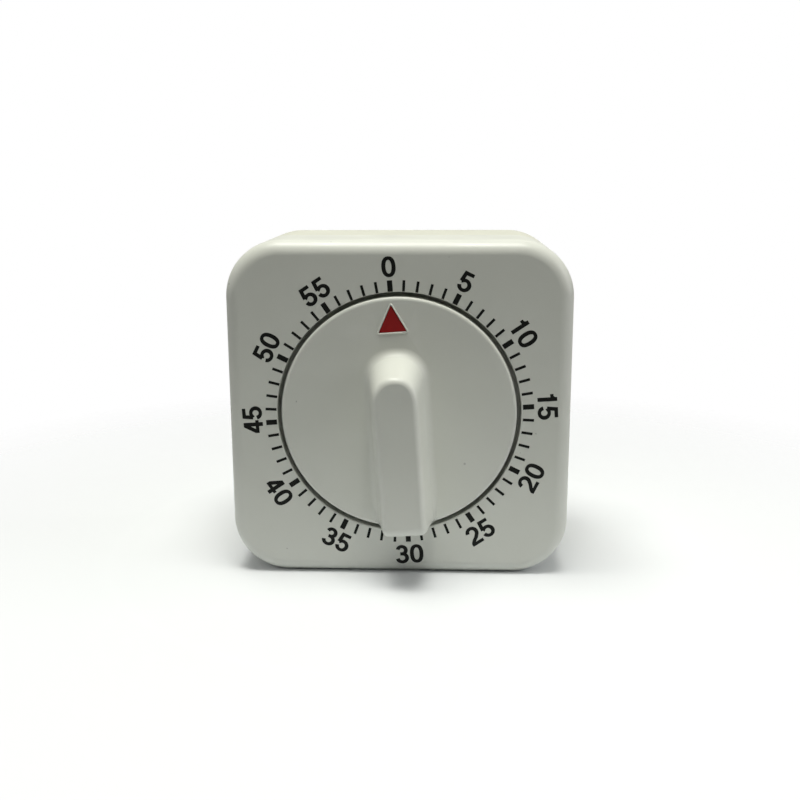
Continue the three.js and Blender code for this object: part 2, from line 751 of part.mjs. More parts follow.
function pointerTriangle(inset) {
  const halfAngle = Math.atan2(POINTER_WIDTH / 2, POINTER_TIP_RADIUS - POINTER_BASE_RADIUS);
  const tip = POINTER_TIP_RADIUS - inset / Math.sin(halfAngle);
  const base = POINTER_BASE_RADIUS + inset;
  const halfWidth = (tip - base) * Math.tan(halfAngle);
  return polygon([[-halfWidth, base], [halfWidth, base], [0, tip]]);
}

function makeKnob() {
  const disc = turned([
    [0, DISC_FRONT_Y],
    [DISC_RADIUS - DISC_EDGE_RADIUS, DISC_FRONT_Y],
    [DISC_RADIUS, DISC_FRONT_Y + DISC_EDGE_RADIUS],
    [DISC_RADIUS, DISC_BACK_Y],
    [HUB_RADIUS, DISC_BACK_Y],
    [HUB_RADIUS, HUB_BACK_Y],
    [KNOB_BORE_RADIUS, HUB_BACK_Y],
    [KNOB_BORE_RADIUS, KNOB_BORE_Y],
    [0, KNOB_BORE_Y],
  ], DISC_SIDES);
  const lug = stopLug(KNOB_LUG_ANGLE, DISC_BACK_Y - REACH, KNOB_LUG_Y);
  const pocket = prism(
    pointerTriangle(0), DISC_FRONT_Y - REACH, DISC_FRONT_Y + POINTER_POCKET_DEPTH);
  return joined([disc, makeHandle(), lug]).subtract(pocket);
}

function makePointer() {
  return prism(
    pointerTriangle(POINTER_GAP),
    DISC_FRONT_Y + POINTER_SINK, DISC_FRONT_Y + POINTER_POCKET_DEPTH - POINTER_GAP);
}

function knobGroup() {
  const group = new THREE.Group();
  group.rotation.y = -DIAL_TILT;
  group.add(piece('knob', makeKnob(), IVORY_PLASTIC));
  group.add(piece('pointer_inlay', makePointer(), RED_PLASTIC));
  return group;
}

// ---------------------------------------------------------------- plates and fastenings

function plateShape(holes) {
  const shape = roundedRectangle(PLATE_WIDTH, PLATE_HEIGHT, PLATE_CORNER, 0, PLATE_CENTRE_Z);
  shape.holes = holes.map(([[x, z], radius]) => holePath(radius, x, z));
  return shape;
}

function trainHoles() {
  return [SECOND_AXIS, THIRD_AXIS, ESCAPE_AXIS, PALLET_AXIS, ALARM_AXIS]
    .map((axis) => [axis, PIVOT_HOLE_RADIUS]);
}

function makeFrontPlate() {
  return prism(plateShape([
    ...trainHoles(),
    [HAMMER_AXIS, PIVOT_HOLE_RADIUS],
    [MAIN_AXIS, MAIN_ARBOR_RADIUS + 2 * WHEEL_BORE_GAP],
    [LEVER_AXIS, TENON_HOLE_RADIUS],
    ...PILLAR_AXES.map((axis) => [axis, TENON_HOLE_RADIUS]),
    ...MOVEMENT_SCREW_AXES.map((axis) => [axis, PLATE_SCREW_HOLE]),
  ]), FRONT_PLATE_Y, FRONT_PLATE_Y + PLATE_THICKNESS);
}

function makeRearPlate() {
  return prism(plateShape([
    ...trainHoles(),
    [HAMMER_AXIS, ARBOR_RADIUS + 2 * WHEEL_BORE_GAP],
    [MAIN_AXIS, MAIN_PIVOT_RADIUS + 2 * WHEEL_BORE_GAP],
    [BELL_AXIS, BELL_HOLE_RADIUS],
    ...PILLAR_AXES.map((axis) => [axis, TENON_HOLE_RADIUS]),
  ]), REAR_PLATE_Y, REAR_PLATE_Y + PLATE_THICKNESS);
}

function makePillar() {
  const bodyFront = FRONT_PLATE_Y + PLATE_THICKNESS + SEAT_GAP;
  const bodyBack = REAR_PLATE_Y - SEAT_GAP;
  const stud = NUT_HEIGHT + 2 * SEAT_GAP;
  return steppedShaft([
    [PILLAR_TENON_RADIUS, FRONT_PLATE_Y + SEAT_GAP, bodyFront],
    [PILLAR_RADIUS, bodyFront, bodyBack],
    [PILLAR_TENON_RADIUS, bodyBack, REAR_PLATE_Y + PLATE_THICKNESS + stud],
  ]);
}

function makeNut(yFront, boreRadius) {
  const corners = Array.from({ length: NUT_SIDES }, (_, i) => (
    polar(NUT_CORNER_RADIUS, 2 * Math.PI * i / NUT_SIDES)));
  const shape = polygon(corners);
  shape.holes = [holePath(boreRadius)];
  return prism(shape, yFront, yFront + NUT_HEIGHT);
}

function makeMovementScrew() {
  const headFront = FRONT_PLATE_Y + PLATE_THICKNESS + SEAT_GAP;
  const headBack = headFront + THICK_WHEEL;
  const shankFront = RECESS_FLOOR_Y + FLOOR_THICKNESS + 2 * SEAT_GAP;
  const screw = steppedShaft([
    [PLATE_SCREW_RADIUS, shankFront, headFront],
    [PLATE_SCREW_HEAD, headFront, headBack],
  ]);
  const slot = block(
    3 * PLATE_SCREW_HEAD, CROSS_WIDTH, CROSS_WIDTH, 0, headBack - CROSS_WIDTH / 4, 0);
  return screw.subtract(slot);
}

function makeLeverStud() {
  const bodyFront = FRONT_PLATE_Y + PLATE_THICKNESS + SEAT_GAP;
  const leverBack = LAYER_THIRD_WHEEL + THIN_WHEEL + 2 * SEAT_GAP;
  return steppedShaft([
    [PILLAR_TENON_RADIUS, FRONT_PLATE_Y + SEAT_GAP, bodyFront],
    [LEVER_BORE_RADIUS - 2 * SEAT_GAP, bodyFront, leverBack],
    [LEVER_HUB_RADIUS, leverBack, leverBack + THIN_WHEEL],
  ]);
}

function framePieces() {
  const nutFront = REAR_PLATE_Y + PLATE_THICKNESS + SEAT_GAP;
  const pieces = [
    piece('front_plate', makeFrontPlate(), BRASS),
    piece('rear_plate', makeRearPlate(), BRASS),
    piece('lever_stud', makeLeverStud(), STEEL, ...LEVER_AXIS),
  ];
  PILLAR_AXES.forEach(([x, z], i) => {
    pieces.push(piece(`pillar_${i + 1}`, makePillar(), STEEL, x, z));
    pieces.push(piece(`pillar_nut_${i + 1}`, makeNut(nutFront, TENON_HOLE_RADIUS), ZINC, x, z));
  });
  MOVEMENT_SCREW_AXES.forEach(([x, z], i) => {
    pieces.push(piece(`movement_screw_${i + 1}`, makeMovementScrew(), ZINC, x, z));
  });
  return pieces;
}

// ---------------------------------------------------------------- bell

function bellProfile() {
  const outer = [];
  const inner = [];
  const domeCentre = [BELL_RADIUS - BELL_DOME_RADIUS, BELL_TOP_Y - BELL_DOME_RADIUS];
  for (let i = 0; i <= ROUND_STEPS; i++) {
    const [dr, dy] = polar(1, Math.PI / 2 * (1 - i / ROUND_STEPS));
    const innerRadius = BELL_DOME_RADIUS - BELL_THICKNESS;
    outer.push([domeCentre[0] + BELL_DOME_RADIUS * dr, domeCentre[1] + BELL_DOME_RADIUS * dy]);
    inner.push([domeCentre[0] + innerRadius * dr, domeCentre[1] + innerRadius * dy]);
  }
  const profile = [
    [BELL_HOLE_RADIUS, BELL_TOP_Y],
    ...outer,
    [BELL_RADIUS, BELL_RIM_Y],
    [BELL_RADIUS - BELL_THICKNESS, BELL_RIM_Y],
    ...inner.reverse(),
    [BELL_HOLE_RADIUS, BELL_TOP_Y - BELL_THICKNESS],
  ];
  return [...profile, profile[0]];
}

function makeBellPost() {
  const seatFront = REAR_PLATE_Y + PLATE_THICKNESS + SEAT_GAP;
  const seatBack = BELL_TOP_Y - BELL_THICKNESS - SEAT_GAP;
  const tenon = BELL_HOLE_RADIUS - 2 * SEAT_GAP;
  return steppedShaft([
    [tenon, REAR_PLATE_Y + SEAT_GAP, seatFront],
    [BELL_POST_RADIUS, seatFront, seatBack],
    [tenon, seatBack, BELL_TOP_Y + NUT_HEIGHT + 4 * SEAT_GAP],
  ]);
}

function bellPieces() {
  return [
    piece('bell', turned(bellProfile(), BELL_SIDES), BELL_NICKEL, ...BELL_AXIS),
    piece('bell_post', makeBellPost(), STEEL, ...BELL_AXIS),
    piece('bell_nut', makeNut(BELL_TOP_Y + SEAT_GAP, BELL_HOLE_RADIUS), ZINC, ...BELL_AXIS),
  ];
}

// ---------------------------------------------------------------- main arbor and barrel

function makeMainArbor() {
  const neckFront = BARREL_FRONT_Y - 2 * SEAT_GAP;
  const coreFront = LID_FRONT_Y + LID_THICKNESS + 2 * SEAT_GAP;
  const coreBack = LAYER_BARREL_TEETH - 2 * SEAT_GAP;
  return steppedShaft([
    [MAIN_ARBOR_RADIUS, MAIN_ARBOR_FRONT_Y, neckFront],
    [MAIN_NECK_RADIUS, neckFront, coreFront],
    [MAIN_CORE_RADIUS, coreFront, coreBack],
    [MAIN_NECK_RADIUS, coreBack, REAR_PLATE_Y - SEAT_GAP],
    [MAIN_PIVOT_RADIUS, REAR_PLATE_Y - SEAT_GAP, PIVOT_BACK_Y],
  ], ROD_SIDES);
}

function makeMainWheel() {
  const shape = wheelOutline(MAIN_TEETH, MAIN_MODULE, directionFrom(MAIN_AXIS, SECOND_AXIS));
  shape.holes.push(holePath(MAIN_ARBOR_RADIUS + WHEEL_BORE_GAP));
  addWindows(shape, ...MAIN_WINDOWS);
  return prism(shape, LAYER_MAIN_WHEEL, LAYER_MAIN_WHEEL + THICK_WHEEL, WINDOW_CURVE);
}

function makeFrictionWasher() {
  const shape = toothOutline(
    WASHER_LEAVES, WASHER_ROOT, WASHER_RADIUS, WASHER_ROOT_SHARE, WASHER_TIP_SHARE, Math.PI / 2);
  shape.holes.push(holePath(MAIN_ARBOR_RADIUS + WHEEL_BORE_GAP));
  return prism(shape, WASHER_Y, WASHER_Y + WASHER_THICKNESS);
}

function makeAlarmCam() {
  const middle = radians(CAM_NOTCH_ANGLE);
  const half = radians(CAM_NOTCH_HALF_ANGLE);
  const shape = new THREE.Shape();
  shape.absarc(0, 0, CAM_RADIUS, middle + half, middle - half + 2 * Math.PI, false);
  shape.absarc(0, 0, CAM_NOTCH_RADIUS, middle - half, middle + half, false);
  shape.closePath();
  shape.holes.push(holePath(MAIN_ARBOR_RADIUS + WHEEL_BORE_GAP));
  return prism(shape, LAYER_THIRD_WHEEL, LAYER_THIRD_WHEEL + THIN_WHEEL, CAM_SEGMENTS);
}

function makeBarrel() {
  const flange = wheelOutline(BARREL_TEETH, BARREL_MODULE, directionFrom(MAIN_AXIS, ALARM_AXIS));
  const back = LAYER_BARREL_TEETH + THICK_WHEEL;
  const solid = joined([
    prism(flange, LAYER_BARREL_TEETH, back),
    rod(BARREL_RADIUS, BARREL_FRONT_Y, LAYER_BARREL_TEETH + THICK_WHEEL / 2, 0, 0, BELL_SIDES),
  ]);
  return without(solid, [
    rod(BARREL_RADIUS - BARREL_WALL, BARREL_FRONT_Y - REACH, LAYER_BARREL_TEETH, 0, 0, BELL_SIDES),
    bore(MAIN_NECK_HOLE_RADIUS, LAYER_BARREL_TEETH - REACH, back + REACH),
  ]);
}

function makeBarrelLid() {
  const shape = circleShape(BARREL_RADIUS - BARREL_WALL - 2 * SEAT_GAP);
  shape.holes.push(holePath(MAIN_NECK_HOLE_RADIUS));
  return prism(shape, LID_FRONT_Y, LID_FRONT_Y + LID_THICKNESS, BELL_SIDES / 2);
}

// A flat strip wound in a spiral from the arbor's core to the barrel's wall.
function makeMainspring() {
  const steps = SPRING_TURNS * SPRING_STEPS_PER_TURN;
  const outside = [];
  const inside = [];
  for (let i = 0; i <= steps; i++) {
    const angle = 2 * Math.PI * i / SPRING_STEPS_PER_TURN;
    const radius = THREE.MathUtils.lerp(SPRING_INNER_RADIUS, SPRING_OUTER_RADIUS, i / steps);
    outside.push(polar(radius + SPRING_THICKNESS / 2, angle));
    inside.push(polar(radius - SPRING_THICKNESS / 2, angle));
  }
  return prism(polygon([...outside, ...inside.reverse()]), SPRING_FRONT_Y, SPRING_BACK_Y);
}

function mainPieces() {
  return [
    piece('main_arbor', makeMainArbor(), STEEL),
    piece('main_wheel', makeMainWheel(), BRASS),
    piece('friction_washer', makeFrictionWasher(), SPRING_STEEL),
    piece('alarm_cam', makeAlarmCam(), WHITE_ACETAL),
    piece('spring_barrel', makeBarrel(), BRASS),
    piece('barrel_lid', makeBarrelLid(), BRASS),
    piece('mainspring', makeMainspring(), SPRING_STEEL),
  ];
}

// ---------------------------------------------------------------- time train

function trainWheel(teeth, toothModule, phase, layer) {
  const rootRadius = teeth * toothModule / 2 - TOOTH_DEDENDUM * toothModule;
  const shape = wheelOutline(teeth, toothModule, phase);
  shape.holes.push(holePath(ARBOR_RADIUS + WHEEL_BORE_GAP));
  addWindows(shape, TRAIN_WINDOW_INNER, rootRadius - TRAIN_RIM);
  return prism(shape, layer, layer + THIN_WHEEL, WINDOW_CURVE);
}

function pointedWheel(teeth, rootRadius, tipRadius, phase) {
  const shape = pointedOutline(teeth, rootRadius, tipRadius, phase);
  shape.holes.push(holePath(ARBOR_RADIUS + WHEEL_BORE_GAP));
  return prism(shape, LAYER_SECOND_WHEEL, LAYER_SECOND_WHEEL + THIN_WHEEL);
}

function trainPieces() {
  const pieces = [];
  const addArbor = (name, axis, drivenFrom, teeth, toothModule, layer, thickness) => {
    const phase = gapPhase(teeth, directionFrom(axis, drivenFrom));
    const solid = arborWithPinion(teeth, toothModule, phase, layer, thickness, PIVOT_BACK_Y);
    pieces.push(piece(name, solid, STEEL, ...axis));
  };
  addArbor('second_arbor', SECOND_AXIS, MAIN_AXIS, PINION_TEETH, MAIN_MODULE,
    LAYER_MAIN_WHEEL, THICK_WHEEL);
  addArbor('third_arbor', THIRD_AXIS, SECOND_AXIS, PINION_TEETH, SECOND_MODULE,
    LAYER_SECOND_WHEEL, THIN_WHEEL);
  addArbor('escape_arbor', ESCAPE_AXIS, THIRD_AXIS, PINION_TEETH, THIRD_MODULE,
    LAYER_THIRD_WHEEL, THIN_WHEEL);
  addArbor('alarm_arbor', ALARM_AXIS, MAIN_AXIS, ALARM_PINION_TEETH, BARREL_MODULE,
    LAYER_BARREL_TEETH, THICK_WHEEL);
  const second = trainWheel(
    SECOND_TEETH, SECOND_MODULE, directionFrom(SECOND_AXIS, THIRD_AXIS), LAYER_SECOND_WHEEL);
  const third = trainWheel(
    THIRD_TEETH, THIRD_MODULE, directionFrom(THIRD_AXIS, ESCAPE_AXIS), LAYER_THIRD_WHEEL);
  const escape = pointedWheel(
    ESCAPE_TEETH, ESCAPE_ROOT, ESCAPE_RADIUS,
    pinPhase(ESCAPE_TEETH, ESCAPE_AXIS, PALLET_AXIS, ESCAPE_PIN_ANGLE));
  const star = pointedWheel(
    STAR_TEETH, STAR_ROOT, STAR_RADIUS,
    pinPhase(STAR_TEETH, ALARM_AXIS, HAMMER_AXIS, STAR_PIN_ANGLE));
  pieces.push(piece('second_wheel', second, BRASS, ...SECOND_AXIS));
  pieces.push(piece('third_wheel', third, BRASS, ...THIRD_AXIS));
  pieces.push(piece('escape_wheel', escape, BRASS, ...ESCAPE_AXIS));
  pieces.push(piece('star_wheel', star, STEEL, ...ALARM_AXIS));
  return pieces;
}

// ---------------------------------------------------------------- pallets, balance and hammer

// The pins are a half tooth apart in the teeth's rhythm, so each stands a quarter pitch off a gap.
function pinPhase(teeth, wheelAxis, anchorAxis, pinAngle) {
  const pitch = 2 * Math.PI / teeth;
  const pin = directionFrom(wheelAxis, anchorAxis) + radians(pinAngle);
  return pin + pitch / 2 + pitch / 4;
}

function makeAnchor(wheelAxis, anchorAxis, pinCircle, pinRadius, pinAngle) {
  const [ax, az] = anchorAxis;
  const direction = THREE.MathUtils.radToDeg(directionFrom(wheelAxis, anchorAxis));
  const anchorBack = ANCHOR_Y + ANCHOR_THICKNESS;
  const solids = [rod(ANCHOR_HUB_RADIUS, ANCHOR_Y, anchorBack, 0, 0, SHAFT_SIDES)];
  for (const side of [-1, 1]) {
    const [px, pz] = stepFrom(wheelAxis, pinCircle, direction + side * pinAngle);
    const arm = capsule([0, 0], [px - ax, pz - az], ANCHOR_ARM_WIDTH);
    solids.push(prism(arm, ANCHOR_Y, anchorBack, END_CURVE));
    solids.push(rod(
      pinRadius, PIN_FRONT_Y, ANCHOR_Y + ANCHOR_THICKNESS / 2, px - ax, pz - az, SHAFT_SIDES));
  }
  return joined(solids);
}

function boredFor(solid, radius) {
  return solid.subtract(bore(radius, FRONT_PLATE_Y, BACK_Y));
}

function makePalletAnchor() {
  const solid = makeAnchor(
    ESCAPE_AXIS, PALLET_AXIS, ESCAPE_PIN_CIRCLE, ESCAPE_PIN_RADIUS, ESCAPE_PIN_ANGLE);
  return boredFor(solid, ARBOR_RADIUS + WHEEL_BORE_GAP);
}

function makeHammerAnchor() {
  const [x, z] = HAMMER_STOP_PIN;
  const anchorBack = ANCHOR_Y + ANCHOR_THICKNESS;
  const solid = joined([
    makeAnchor(ALARM_AXIS, HAMMER_AXIS, STAR_PIN_CIRCLE, STAR_PIN_RADIUS, STAR_PIN_ANGLE),
    prism(
      capsule([0, 0], HAMMER_STOP_PIN, ANCHOR_ARM_WIDTH), ANCHOR_Y, anchorBack, END_CURVE),
    rod(STAR_PIN_RADIUS, LAYER_THIRD_WHEEL, anchorBack, x, z, SHAFT_SIDES),
  ]);
  return boredFor(solid, ARBOR_RADIUS + WHEEL_BORE_GAP);
}

function makeBalanceBar() {
  const back = BALANCE_Y + BALANCE_THICKNESS;
  const bar = capsule([0, -BALANCE_REACH], [0, BALANCE_REACH], BALANCE_WIDTH);
  const solid = joined([
    prism(bar, BALANCE_Y, back, END_CURVE),
    rod(ANCHOR_HUB_RADIUS, BALANCE_Y, back, 0, 0, SHAFT_SIDES),
    ...[-1, 1].map((side) => (
      rod(BALANCE_WEIGHT_RADIUS, BALANCE_Y, BALANCE_Y + BALANCE_WEIGHT_LENGTH,
        0, side * BALANCE_REACH, SHAFT_SIDES))),
  ]);
  return boredFor(solid, ARBOR_RADIUS + WHEEL_BORE_GAP);
}

function makeBareArbor(backPivotRadius, backY) {
  return steppedShaft([
    [PIVOT_RADIUS, FRONT_PLATE_Y + SEAT_GAP, FRONT_PLATE_Y + PLATE_THICKNESS + SEAT_GAP],
    [ARBOR_RADIUS, FRONT_PLATE_Y + PLATE_THICKNESS + SEAT_GAP, REAR_PLATE_Y - SEAT_GAP],
    [backPivotRadius, REAR_PLATE_Y - SEAT_GAP, backY],
  ]);
}

function makeHammerArm() {
  const back = HAMMER_ARM_Y + HAMMER_ARM_THICKNESS;
  const [x, z] = HAMMER_REACH;
  const solid = joined([
    rod(ANCHOR_HUB_RADIUS, HAMMER_ARM_Y, back, 0, 0, SHAFT_SIDES),
    prism(capsule([0, 0], HAMMER_REACH, BALANCE_WIDTH), HAMMER_ARM_Y, back, END_CURVE),
    rod(HAMMER_HEAD_RADIUS, HAMMER_ARM_Y, back, x, z, SHAFT_SIDES),
  ]);
  const tenonHole = bore(PIVOT_HOLE_RADIUS, HAMMER_ARM_Y - REACH, back + REACH, x, z);
  return boredFor(solid, ARBOR_RADIUS + WHEEL_BORE_GAP).subtract(tenonHole);
}

function makeHammerHead() {
  return steppedShaft([
    [PIVOT_RADIUS, HAMMER_ARM_Y, HAMMER_HEAD_FRONT_Y],
    [HAMMER_HEAD_RADIUS, HAMMER_HEAD_FRONT_Y, HAMMER_HEAD_BACK_Y],
  ], ROD_SIDES);
}

function makeAlarmLever() {
  const [lx, lz] = LEVER_AXIS;
  const [nx, nz] = polar(
    CAM_RADIUS + LEVER_NOSE_GAP + LEVER_NOSE_WIDTH / 2, radians(CAM_NOTCH_ANGLE));
  const [kx, kz] = polar(CAM_RADIUS + LEVER_KNEE_GAP, radians(CAM_NOTCH_ANGLE));
  const front = LAYER_THIRD_WHEEL;
  const back = LAYER_THIRD_WHEEL + THIN_WHEEL;
  const knee = [kx - lx, kz - lz];
  const solid = joined([
    rod(LEVER_HUB_RADIUS, front, back, 0, 0, SHAFT_SIDES),
    prism(capsule([0, 0], knee, LEVER_WIDTH), front, back, END_CURVE),
    prism(capsule(knee, [nx - lx, nz - lz], LEVER_NOSE_WIDTH), front, back, END_CURVE),
    prism(capsule([0, 0], LEVER_FINGER, LEVER_WIDTH), front, back, END_CURVE),
  ]);
  return boredFor(solid, LEVER_BORE_RADIUS);
}

function palletAndHammerPieces() {
  const [hx, hz] = HAMMER_AXIS;
  const headPlace = [hx + HAMMER_REACH[0], hz + HAMMER_REACH[1]];
  const hammerArborBack = HAMMER_ARM_Y + HAMMER_ARM_THICKNESS + SEAT_GAP;
  return [
    piece('pallet_arbor', makeBareArbor(PIVOT_RADIUS, PIVOT_BACK_Y), STEEL, ...PALLET_AXIS),
    piece('pallet_anchor', makePalletAnchor(), STEEL, ...PALLET_AXIS),
    piece('balance_bar', makeBalanceBar(), BRASS, ...PALLET_AXIS),
    piece('hammer_arbor', makeBareArbor(ARBOR_RADIUS, hammerArborBack), STEEL, ...HAMMER_AXIS),
    piece('hammer_anchor', makeHammerAnchor(), STEEL, ...HAMMER_AXIS),
    piece('hammer_arm', makeHammerArm(), STEEL, ...HAMMER_AXIS),
    piece('hammer_head', makeHammerHead(), BRASS, ...headPlace),
    piece('alarm_lever', makeAlarmLever(), STEEL, ...LEVER_AXIS),
  ];
}

// ---------------------------------------------------------------- assembly

// Everything placed from the dial axis.
function movementGroup() {
  const group = new THREE.Group();
  group.position.set(0, 0, DIAL_Z);
  group.add(knobGroup());
  group.add(...framePieces());
  group.add(...bellPieces());
  group.add(...mainPieces());
  group.add(...trainPieces());
  group.add(...palletAndHammerPieces());
  return group;
}

const timer = new THREE.Group();
timer.name = 'kitchen_timer';
timer.add(...housingPieces());
timer.add(movementGroup());

export default timer;
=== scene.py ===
import json
import math

import bmesh
import bpy
from mathutils import Matrix, Vector
from mathutils.geometry import delaunay_2d_cdt

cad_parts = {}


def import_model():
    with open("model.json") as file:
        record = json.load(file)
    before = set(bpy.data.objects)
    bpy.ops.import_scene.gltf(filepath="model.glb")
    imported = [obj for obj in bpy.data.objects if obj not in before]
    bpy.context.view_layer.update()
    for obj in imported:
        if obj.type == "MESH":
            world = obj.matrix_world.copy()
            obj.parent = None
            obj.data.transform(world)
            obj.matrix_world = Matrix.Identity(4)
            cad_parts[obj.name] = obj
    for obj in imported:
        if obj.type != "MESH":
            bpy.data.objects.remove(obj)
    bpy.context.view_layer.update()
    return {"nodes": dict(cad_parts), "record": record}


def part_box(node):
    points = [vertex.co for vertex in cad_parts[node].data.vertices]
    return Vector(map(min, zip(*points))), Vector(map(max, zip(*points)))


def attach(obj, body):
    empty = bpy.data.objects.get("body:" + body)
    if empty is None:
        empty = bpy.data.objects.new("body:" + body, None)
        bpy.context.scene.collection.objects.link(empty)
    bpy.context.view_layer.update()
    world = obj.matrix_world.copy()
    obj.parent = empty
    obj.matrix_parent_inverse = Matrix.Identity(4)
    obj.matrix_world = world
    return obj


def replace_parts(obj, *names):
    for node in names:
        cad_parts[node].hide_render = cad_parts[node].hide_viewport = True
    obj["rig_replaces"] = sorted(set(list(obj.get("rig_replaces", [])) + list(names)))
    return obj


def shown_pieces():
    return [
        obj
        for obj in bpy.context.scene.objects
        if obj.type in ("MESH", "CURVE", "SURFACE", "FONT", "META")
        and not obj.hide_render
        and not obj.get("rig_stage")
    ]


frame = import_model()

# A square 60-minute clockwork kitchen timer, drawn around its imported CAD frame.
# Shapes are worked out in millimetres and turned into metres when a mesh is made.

MM = 0.001


def box_mm(node):
    """Lowest and highest corner of a CAD node, in millimetres."""
    low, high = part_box(node)
    return low / MM, high / MM


SHELL_LOW, SHELL_HIGH = box_mm("front_shell")
_, COVER_HIGH = box_mm("rear_cover")
KNOB_LOW, KNOB_HIGH = box_mm("knob")
ARBOR_LOW, ARBOR_HIGH = box_mm("main_arbor")
BELL_LOW, BELL_HIGH = box_mm("bell")
MAGNET_LOW, MAGNET_HIGH = box_mm("back_magnet")

# Housing
HALF_WIDTH = (SHELL_HIGH.x - SHELL_LOW.x) / 2
HALF_HEIGHT = (SHELL_HIGH.z - SHELL_LOW.z) / 2
CENTRE_Z = (SHELL_HIGH.z + SHELL_LOW.z) / 2
DIAL_Z = (ARBOR_LOW.z + ARBOR_HIGH.z) / 2
FACE_Y = SHELL_LOW.y
BACK_Y = COVER_HIGH.y
PARTING_Y = -2.0
PARTING_GAP = 0.2
CORNER_RADIUS = 11.5
EDGE_RADIUS = 3.0
BACK_EDGE_RADIUS = 3.0
SEAM_ROUND = 0.2
WALL = 2.0
POST_OFFSET = 27.6
POST_RADIUS = 2.6
POST_EDGE = 0.2
POST_END_Y = 8.0
PILOT_RADIUS = 1.35
PILOT_DEPTH = 12.0
RECESS_RADIUS = 24.85
RECESS_LIP = 0.25
RECESS_WALL = 1.5
FLOOR_Y = -15.2
FLOOR_BACK_Y = -13.7
FLOOR_FILLET = 0.6
HUB_HOLE_RADIUS = 4.6
HUB_HOLE_LIP = 0.25
INNER_CORNER = 1.0
BOSS_RADIUS = 2.5
BOSS_PILOT_RADIUS = 1.25
BOSS_BACK_Y = -12.1
BOSS_AXES = ((-24.0, 18.0), (24.0, 0.0), (4.0, -22.0))
LUG_RADIUS = 20.0
LUG_LENGTH = 4.0
LUG_WIDTH = 0.9
SHELL_LUG_ANGLE = 206.86
SHELL_LUG_Y = -16.3
KNOB_LUG_ANGLE = 203.86
KNOB_LUG_Y = -15.5

# Painted shade in the recess, stored as a bend of its surface: none above the knob, most at the lip
# below it
RECESS_PAINTED_SHADE = -3.2
PAINTED_SHADE_DEPTH = 0.35
PAINTED_SHADE_RISE = 1.5
PAINTED_SHADE_AT_FLOOR = 0.5

# Reach of a joined piece into its neighbour, reach of a cutter past a surface, and a near miss
OVERLAP = 0.5
CLEAR = 1.0
NEAR = 0.01

# Rear cover
TONGUE_FRONT_Y = -4.5
TONGUE_BACK_Y = 0.2
TONGUE_INSET = 2.3
TONGUE_THICKNESS = 1.0
REAR_INNER_CORNER = 2.0
RELIEF_GAP = 1.0
CUP_RADIUS = 4.2
CUP_BORE_RADIUS = 3.2
CUP_FLOOR_Y = 8.2
CUP_SEAT_Y = 9.8
SCREW_HOLE_RADIUS = 1.6
MAGNET_POCKET_RADIUS = 11.8
MAGNET_POCKET_Y = 16.7
MAGNET_BOSS_RADIUS = 13.3
MAGNET_POCKET_LIP = 0.4
MAGNET_BOSS_Y = 15.2
MAGNET_BOSS_EDGE = 0.3
MAGNET_FRONT_EDGE = 0.4
MAGNET_BACK_EDGE = 0.35
SLOT_HALF_LENGTH = 12.0
SLOT_HALF_WIDTH = 0.9
SLOT_FIRST = 18.5
SLOT_PITCH = 3.5
SLOT_ROWS = 3
HOLE_LIP = 0.3

# Cover screws; the cross recess narrows to a share of its size at the bottom
SCREW_HEAD_RADIUS = 2.6
SCREW_HEAD_HEIGHT = 1.8
SCREW_HEAD_SIDE = 0.5
SCREW_HEAD_FLAT = 0.8
SCREW_SHANK_RADIUS = 1.2
SCREW_TIP_RADIUS = 0.5
SCREW_TIP_LENGTH = 1.5
CROSS_HALF_LENGTH = 1.5
CROSS_HALF_WIDTH = 0.35
CROSS_DEPTH = 1.0
CROSS_TAPER = 0.45
CROSS_LEAST_WIDTH = 0.6
CROSS_MOUTH = 1.1
CROSS_CLEAR = 0.3

# Knob
DIAL_TILT = 3.86
DISC_RADIUS = 23.9
DISC_FRONT_Y = -19.6
DISC_BACK_Y = -16.6
DISC_EDGE = 0.5
DISC_EDGE_WIDTH = 0.75
DISC_BACK_EDGE = 0.2
HUB_RADIUS = 4.0
KNOB_BORE_RADIUS = 2.0
KNOB_BORE_Y = -18.0
HANDLE_HEIGHT = DISC_FRONT_Y - KNOB_LOW.y
HANDLE_SINK = 1.0
# Half width, top and end of the handle's plan, at the disc and at its front face
HANDLE_BASE = (5.7, 12.4, -23.7)
HANDLE_FRONT = (4.25, 9.2, -23.0)
HANDLE_CORNER = 1.7
HANDLE_TOP_POWER = 0.88
FLARE_SIDE = 1.3
FLARE_TOP = 1.5
FLARE_POWER = 0.7
FLARE_AT_END = 0.55
FLARE_RUN_OUT = 5.0
ROUND_SIDE = 1.0
ROUND_END = 2.3
ROUND_REACH = 7.0
ROUND_STEPS = 12
SIDE_STEP = 1.2
POINTER_TIP = 22.45
POINTER_BASE = 16.9
POINTER_HALF_WIDTH = 2.87
POINTER_CORNER = 0.125
POINTER_POCKET = 0.5
POINTER_GAP = 0.05
POINTER_RISE = 0.04
POINTER_EDGE = 0.1
BEAD_WIDTH = 0.3
BEAD_HEIGHT = 0.2
BEAD_FOOT = 0.2

# Printed scale; some numerals stand off their marks or closer together, by minute
TICK_COUNT = 60
TICKS_PER_NUMERAL = 5
TICK_INNER = 25.1
TICK_OUTER = 27.35
TICK_WIDE = 1.05
TICK_NARROW = 0.55
NUMERAL_RADIUS = 30.05
NUMERAL_NUDGE = {10: -0.25, 15: -0.1, 20: -0.15, 30: 0.0, 40: 0.2, 45: 0.72, 50: 0.6}
NUMERAL_PITCH = {45: 0.71}
PRINT_SHIFT = (0.08, -0.15)
CAP_HEIGHT = 3.97
DIGIT_PITCH = 0.77
STROKE_ACROSS = 0.205
STROKE_UPRIGHT = 0.175
SAME_POINT = 1e-6
LEAST_MITRE = 0.5
STROKE_WELD = 1e-5
INK_DEPTH = 0.02

